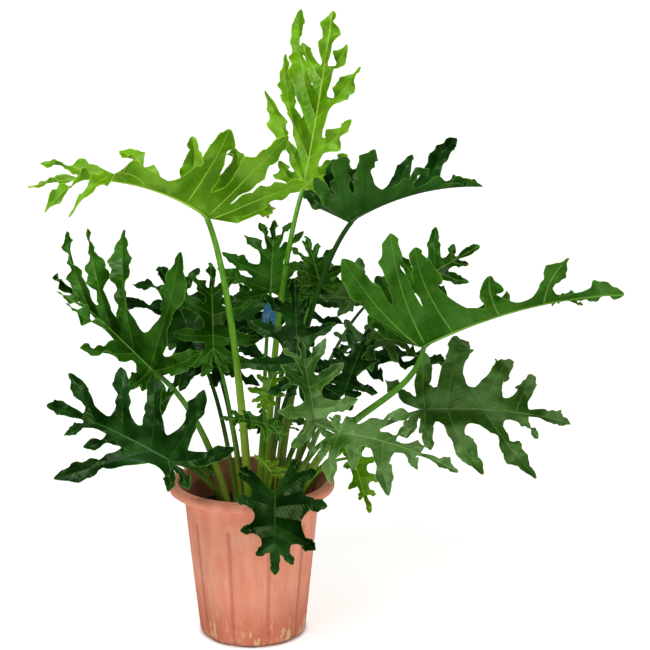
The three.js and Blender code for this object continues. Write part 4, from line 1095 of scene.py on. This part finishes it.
def ribbon(centre, across, width, thick):
    """A strip of tape along a centre line, as a ring of four corners at each point."""
    face = unit(np.cross(np.gradient(centre, axis=0), across)) * thick / 2
    side = across * width[:, None] / 2
    corners = ((-1, -1), (1, -1), (1, 1), (-1, 1))
    return np.stack([centre + a * side + b * face for a, b in corners], 1)


def tape_mesh(row, tape_width):
    """Two turns of tape round the stalk, and its two creased tails."""
    points, thick, share = stalk_path(row)
    centre, low = (
        np.array([np.interp(at, share, points[:, k]) for k in range(3)]) for at in (TIE_AT, TIE_AT - 0.03))
    up = unit(centre - low)
    side = unit(np.cross([0, 1.0, 0], up))
    back = np.cross(up, side)
    axes = np.stack([side, back, up])
    radius = float(np.interp(TIE_AT, share, thick)) + TIE_GAP
    turns = np.linspace(-0.6 * math.pi, 3.6 * math.pi, 90)
    wound = radius + TIE_THICK * (0.55 + 0.42 * turns / (2 * math.pi)) + 0.18 * np.sin(5 * turns)
    climb = 3.2 * np.sin(0.7 * turns) + 1.1 * np.sin(2.3 * turns + 1)
    line = np.stack([wound * np.cos(turns - math.pi / 2), wound * np.sin(turns - math.pi / 2), climb], -1)
    across = unit(up + side * 0.12 * np.sin(1.7 * turns)[:, None])
    strips = [ribbon(centre + line @ axes, across, tape_width + 0.8 * np.sin(3 * turns), 0.5)]
    t = np.linspace(0, 1, 26)
    for degrees, lean, width, length, seed in TIE_TAILS:
        away = math.radians(degrees)
        out = radius + TIE_THICK + 0.6 + 3.5 * lean * np.sin(t * math.pi * 0.6) + 0.9 * np.sin(7 * t + seed)
        drop = 4 - length * t
        sideways = -np.sin(away) * drop * 0.9 + 1.5 * np.sin(4 * t + seed)
        line = np.stack([sideways, -out, drop * math.cos(away)], -1)
        roll = (0.5 * np.sin(3.3 * t + seed) * t)[:, None]
        across = unit(side * np.cos(roll) + back * np.sin(roll))
        narrowed = width * (1 - 0.3 * t) * (0.55 + 0.45 * np.minimum(1, 5 * t))
        strips.append(ribbon(centre + line @ axes, across, narrowed, 0.45))
    faces, total = [], 0
    for strip in strips:
        end = total + 4 * (len(strip) - 1)
        for start in range(total, end, 4):
            for k in range(4):
                a, b = start + k, start + (k + 1) % 4
                faces.append((a, a + 4, b + 4, b))
        faces += [(total, total + 1, total + 2, total + 3), (end + 3, end + 2, end + 1, end)]
        total = end + 4
    return new_mesh("blue_tie_fine", np.concatenate(strips).reshape(-1, 3) * MM, faces)


class LeafSettings(bpy.types.PropertyGroup):
    blade_thickness: length_property("Blade thickness", "How thick a leaf blade is", 0.8, 0.2)
    ripple: bpy.props.FloatProperty(
        name="Edge ripple", description="How strongly the lobes' edges ripple", default=1.0, min=0.0)
    vein_spacing: length_property("Vein spacing", "Distance from one side vein to the next", 11, 3)
    young_green: colour_property("Young green", "Lighter green of the young leaves", "#6CA600")
    bright_green: colour_property("Bright green", "Lighter green of the mid-green leaves", "#2C6600")
    pale_green: colour_property("Greyish green", "Lighter green of the waxy leaves", "#467224")
    grown_green: colour_property("Dark green", "Lighter green of the old leaves", "#0F3802")


class PotSettings(bpy.types.PropertyGroup):
    flute_depth: length_property(
        "Flute depth", "How far the pot's panels are set back at their edges", FLUTE_DEPTH, most=FLUTE_DEPTH)
    plastic: colour_property("Plastic", "The pot's main colour", "#DB8162")
    chalk: colour_property("Chalky plastic", "The pot's colour where it has gone pale", "#EBA184")


class SoilSettings(bpy.types.PropertyGroup):
    crumbs: bpy.props.FloatProperty(
        name="Crumbs", description="Crumbs of bark on each square metre of soil", default=14000.0, min=0.0)
    largest_crumb: length_property("Largest crumb", "Radius of the largest crumb", 3.6)
    peat: colour_property("Peat", "The damp soil's dark colour", "#0F0A07")
    bark: colour_property("Bark", "The crumbs' lighter colour", "#4A3424")


class TieSettings(bpy.types.PropertyGroup):
    tape_width: length_property("Tape width", "Width of the tape round the stalk", 13, 4)
    tape: colour_property("Tape", "The tape's darker blue", "#1F5F93")


class StageSettings(bpy.types.PropertyGroup):
    light_strength: bpy.props.FloatProperty(
        name="Main light", description="Power of the large light above", default=58.0, min=0.0, unit="POWER")
    sky_strength: bpy.props.FloatProperty(
        name="Sky", description="Strength of the white surroundings", default=0.25, min=0.0)


class PHILODENDRON_OT_leaves(bpy.types.Operator):
    """Grow the leaves, each with its stalk, midrib and veins"""

    bl_idname = "philodendron.leaves"
    bl_label = "Grow leaves"

    def execute(self, context):
        settings = context.scene.philodendron_leaves
        tree = ribs_tree()
        pitch = settings.vein_spacing / MM
        skins = {}
        for name, tone in TONES.items():
            deep, under, under_light = (linear(tone[key]) for key in ("deep", "under", "under_light"))
            green = getattr(settings, f"{name}_green")
            skins[name] = (
                leaf_skin(f"{name}_leaf_waxy_upper", tone, deep, green, UPPER_ROUGHNESS, pitch),
                leaf_skin(f"{name}_leaf_matt_underside", tone, under, under_light, UNDER_ROUGHNESS, pitch),
                stalk_skin(f"{name}_fleshy_stalk", tone),
            )
        for row in LEAVES:
            row["ripple"] = (settings.ripple * (0.4 + 0.013 * row["length"]), 6 + 0.08 * row["length"])
            upper, under, stalk = skins[row["tone"]]
            piece = new_piece(row["name"] + "_fine", leaf_mesh(row, settings), upper, under)
            settle(piece, tree, {"Stalk sides": STALK_SIDES, "Vein sides": VEIN_SIDES, "Skin": stalk})
            seat(piece, TONES[row["tone"]]["slot"], row["name"])
        return {"FINISHED"}


class PHILODENDRON_OT_pot(bpy.types.Operator):
    """Mould the fluted pot"""

    bl_idname = "philodendron.pot"
    bl_label = "Mould pot"

    def execute(self, context):
        settings = context.scene.philodendron_pot
        plastic = weathered_pot_plastic(settings.plastic, settings.chalk)
        seat(new_piece("pot_fine", pot_mesh(settings.flute_depth / MM), plastic), "pot", "pot")
        return {"FINISHED"}


class PHILODENDRON_OT_soil(bpy.types.Operator):
    """Fill the pot with soil and strew crumbs on it"""

    bl_idname = "philodendron.soil"
    bl_label = "Fill soil"

    def execute(self, context):
        settings = context.scene.philodendron_soil
        peat = peat_soil("damp_peat_soil", settings.peat, linear("#2E2018"), 0.85)
        soil = new_piece("soil_fine", soil_mesh(), peat)
        crumbs = new_piece("soil_crumbs", soil.data.copy())
        settle(crumbs, crumbs_tree(), {
            "Crumbs per square metre": settings.crumbs, "Smallest": SMALLEST_CRUMB * MM,
            "Largest": settings.largest_crumb, "Reach": CRUMB_REACH * MM, "Seed": 4,
            "Bark": peat_soil("bark_crumbs", linear("#1C120B"), settings.bark, 0.75)})
        seat(soil, "soil", "soil")
        seat(crumbs, "soil")
        return {"FINISHED"}


class PHILODENDRON_OT_tie(bpy.types.Operator):
    """Wind the blue tape round a stalk"""

    bl_idname = "philodendron.tie"
    bl_label = "Wind tie"

    def execute(self, context):
        settings = context.scene.philodendron_tie
        row = next(row for row in LEAVES if row["name"] == TIE_LEAF)
        mesh = tape_mesh(row, settings.tape_width / MM)
        seat(new_piece("blue_tie_fine", mesh, blue_tape(settings.tape)), "tie", "blue_tie")
        return {"FINISHED"}


class PHILODENDRON_OT_stage(bpy.types.Operator):
    """Set the pale floor, the soft lights and the camera"""

    bl_idname = "philodendron.stage"
    bl_label = "Set stage"

    def execute(self, context):
        settings = context.scene.philodendron_stage
        scene = context.scene
        # a sweep: a flat floor that curves up into a wall far behind the plant
        bend = [(2.6 + 1.4 * math.sin(a), 1.4 - 1.4 * math.cos(a)) for a in np.linspace(0, math.pi / 2, 17)]
        line = [(-5.0, 0.0), *bend, (4.0, 6.0)]
        verts = [(x, y, z) for y, z in line for x in (-6.0, 6.0)]
        faces = [(2 * n, 2 * n + 1, 2 * n + 3, 2 * n + 2) for n in range(len(line) - 1)]
        sweep = new_piece("floor_sweep", new_mesh("floor_sweep", verts, faces, smooth=True), pale_floor())
        sweep.visible_glossy = False
        scene.world = world = bpy.data.worlds.new("white_surroundings")
        world.use_nodes = True
        tree = world.node_tree
        # the backdrop itself is white, and lights the plant more faintly
        seen = add(tree, "LightPath").outputs["Is Camera Ray"]
        strength = add(tree, "MapRange", {0: seen, 3: settings.sky_strength, 4: BACKDROP})
        for name, value in (("Color", WHITE), ("Strength", strength)):
            feed(tree, tree.nodes["Background"].inputs[name], value)
        world.cycles_visibility.glossy = False
        for name, spot, size, share in LIGHTS:
            lamp = bpy.data.lights.new(name, "AREA")
            lamp.shape, lamp.size, lamp.energy = "DISK", size, settings.light_strength * share
            light = bpy.data.objects.new(name, lamp)
            light.location = spot
            aim = Vector(LIT_PLACE) - light.location
            light.rotation_euler = aim.to_track_quat("-Z", "Y").to_euler()
            scene.collection.objects.link(light)
        camera = bpy.data.objects.new("camera", bpy.data.cameras.new("camera"))
        camera.location = CAMERA_PLACE
        camera.rotation_euler = (math.radians(90 - CAMERA_DROP), 0.0, 0.0)
        camera.data.sensor_width = SENSOR
        camera.data.lens = SENSOR * FOCAL_PIXELS / PHOTO_PIXELS
        scene.collection.objects.link(camera)
        scene.camera = camera
        scene.view_settings.view_transform = "Standard"
        return {"FINISHED"}


OPERATORS = (
    PHILODENDRON_OT_stage,
    PHILODENDRON_OT_pot,
    PHILODENDRON_OT_soil,
    PHILODENDRON_OT_leaves,
    PHILODENDRON_OT_tie,
)


class PHILODENDRON_PT_panel(bpy.types.Panel):
    bl_label = "Potted philodendron"
    bl_idname = "PHILODENDRON_PT_panel"
    bl_space_type = "VIEW_3D"
    bl_region_type = "UI"
    bl_category = "Philodendron"

    def draw(self, context):
        for group in GROUPS:
            settings = getattr(context.scene, group)
            for name in settings.__annotations__:
                self.layout.prop(settings, name)
        for operator in OPERATORS:
            self.layout.operator(operator.bl_idname)


GROUPS = {
    "philodendron_leaves": LeafSettings,
    "philodendron_pot": PotSettings,
    "philodendron_soil": SoilSettings,
    "philodendron_tie": TieSettings,
    "philodendron_stage": StageSettings,
}
CLASSES = (*GROUPS.values(), *OPERATORS, PHILODENDRON_PT_panel)


def register():
    for cls in CLASSES:
        bpy.utils.register_class(cls)
    for name, cls in GROUPS.items():
        setattr(bpy.types.Scene, name, bpy.props.PointerProperty(type=cls))


def unregister():
    for name in GROUPS:
        delattr(bpy.types.Scene, name)
    for cls in reversed(CLASSES):
        bpy.utils.unregister_class(cls)


def prepare(rows):
    """Adds to each leaf what follows from its place in the list and its size. detail is its net's
    columns across a lobe, rows in the web and rows along the lobe's free length."""
    for index, row in enumerate(rows):
        row["seed"] = index + 1
        row["axes"] = blade_axes(row)
        size = row["length"]
        row["detail"] = (14, 9, 40) if size >= 230 else (12, 8, 32) if size >= 120 else (8, 5, 20)


def main():
    register()
    prepare(LEAVES)
    for operator in OPERATORS:
        group, name = operator.bl_idname.split(".")
        getattr(getattr(bpy.ops, group), name)()


if __name__ == "__main__":
    main()
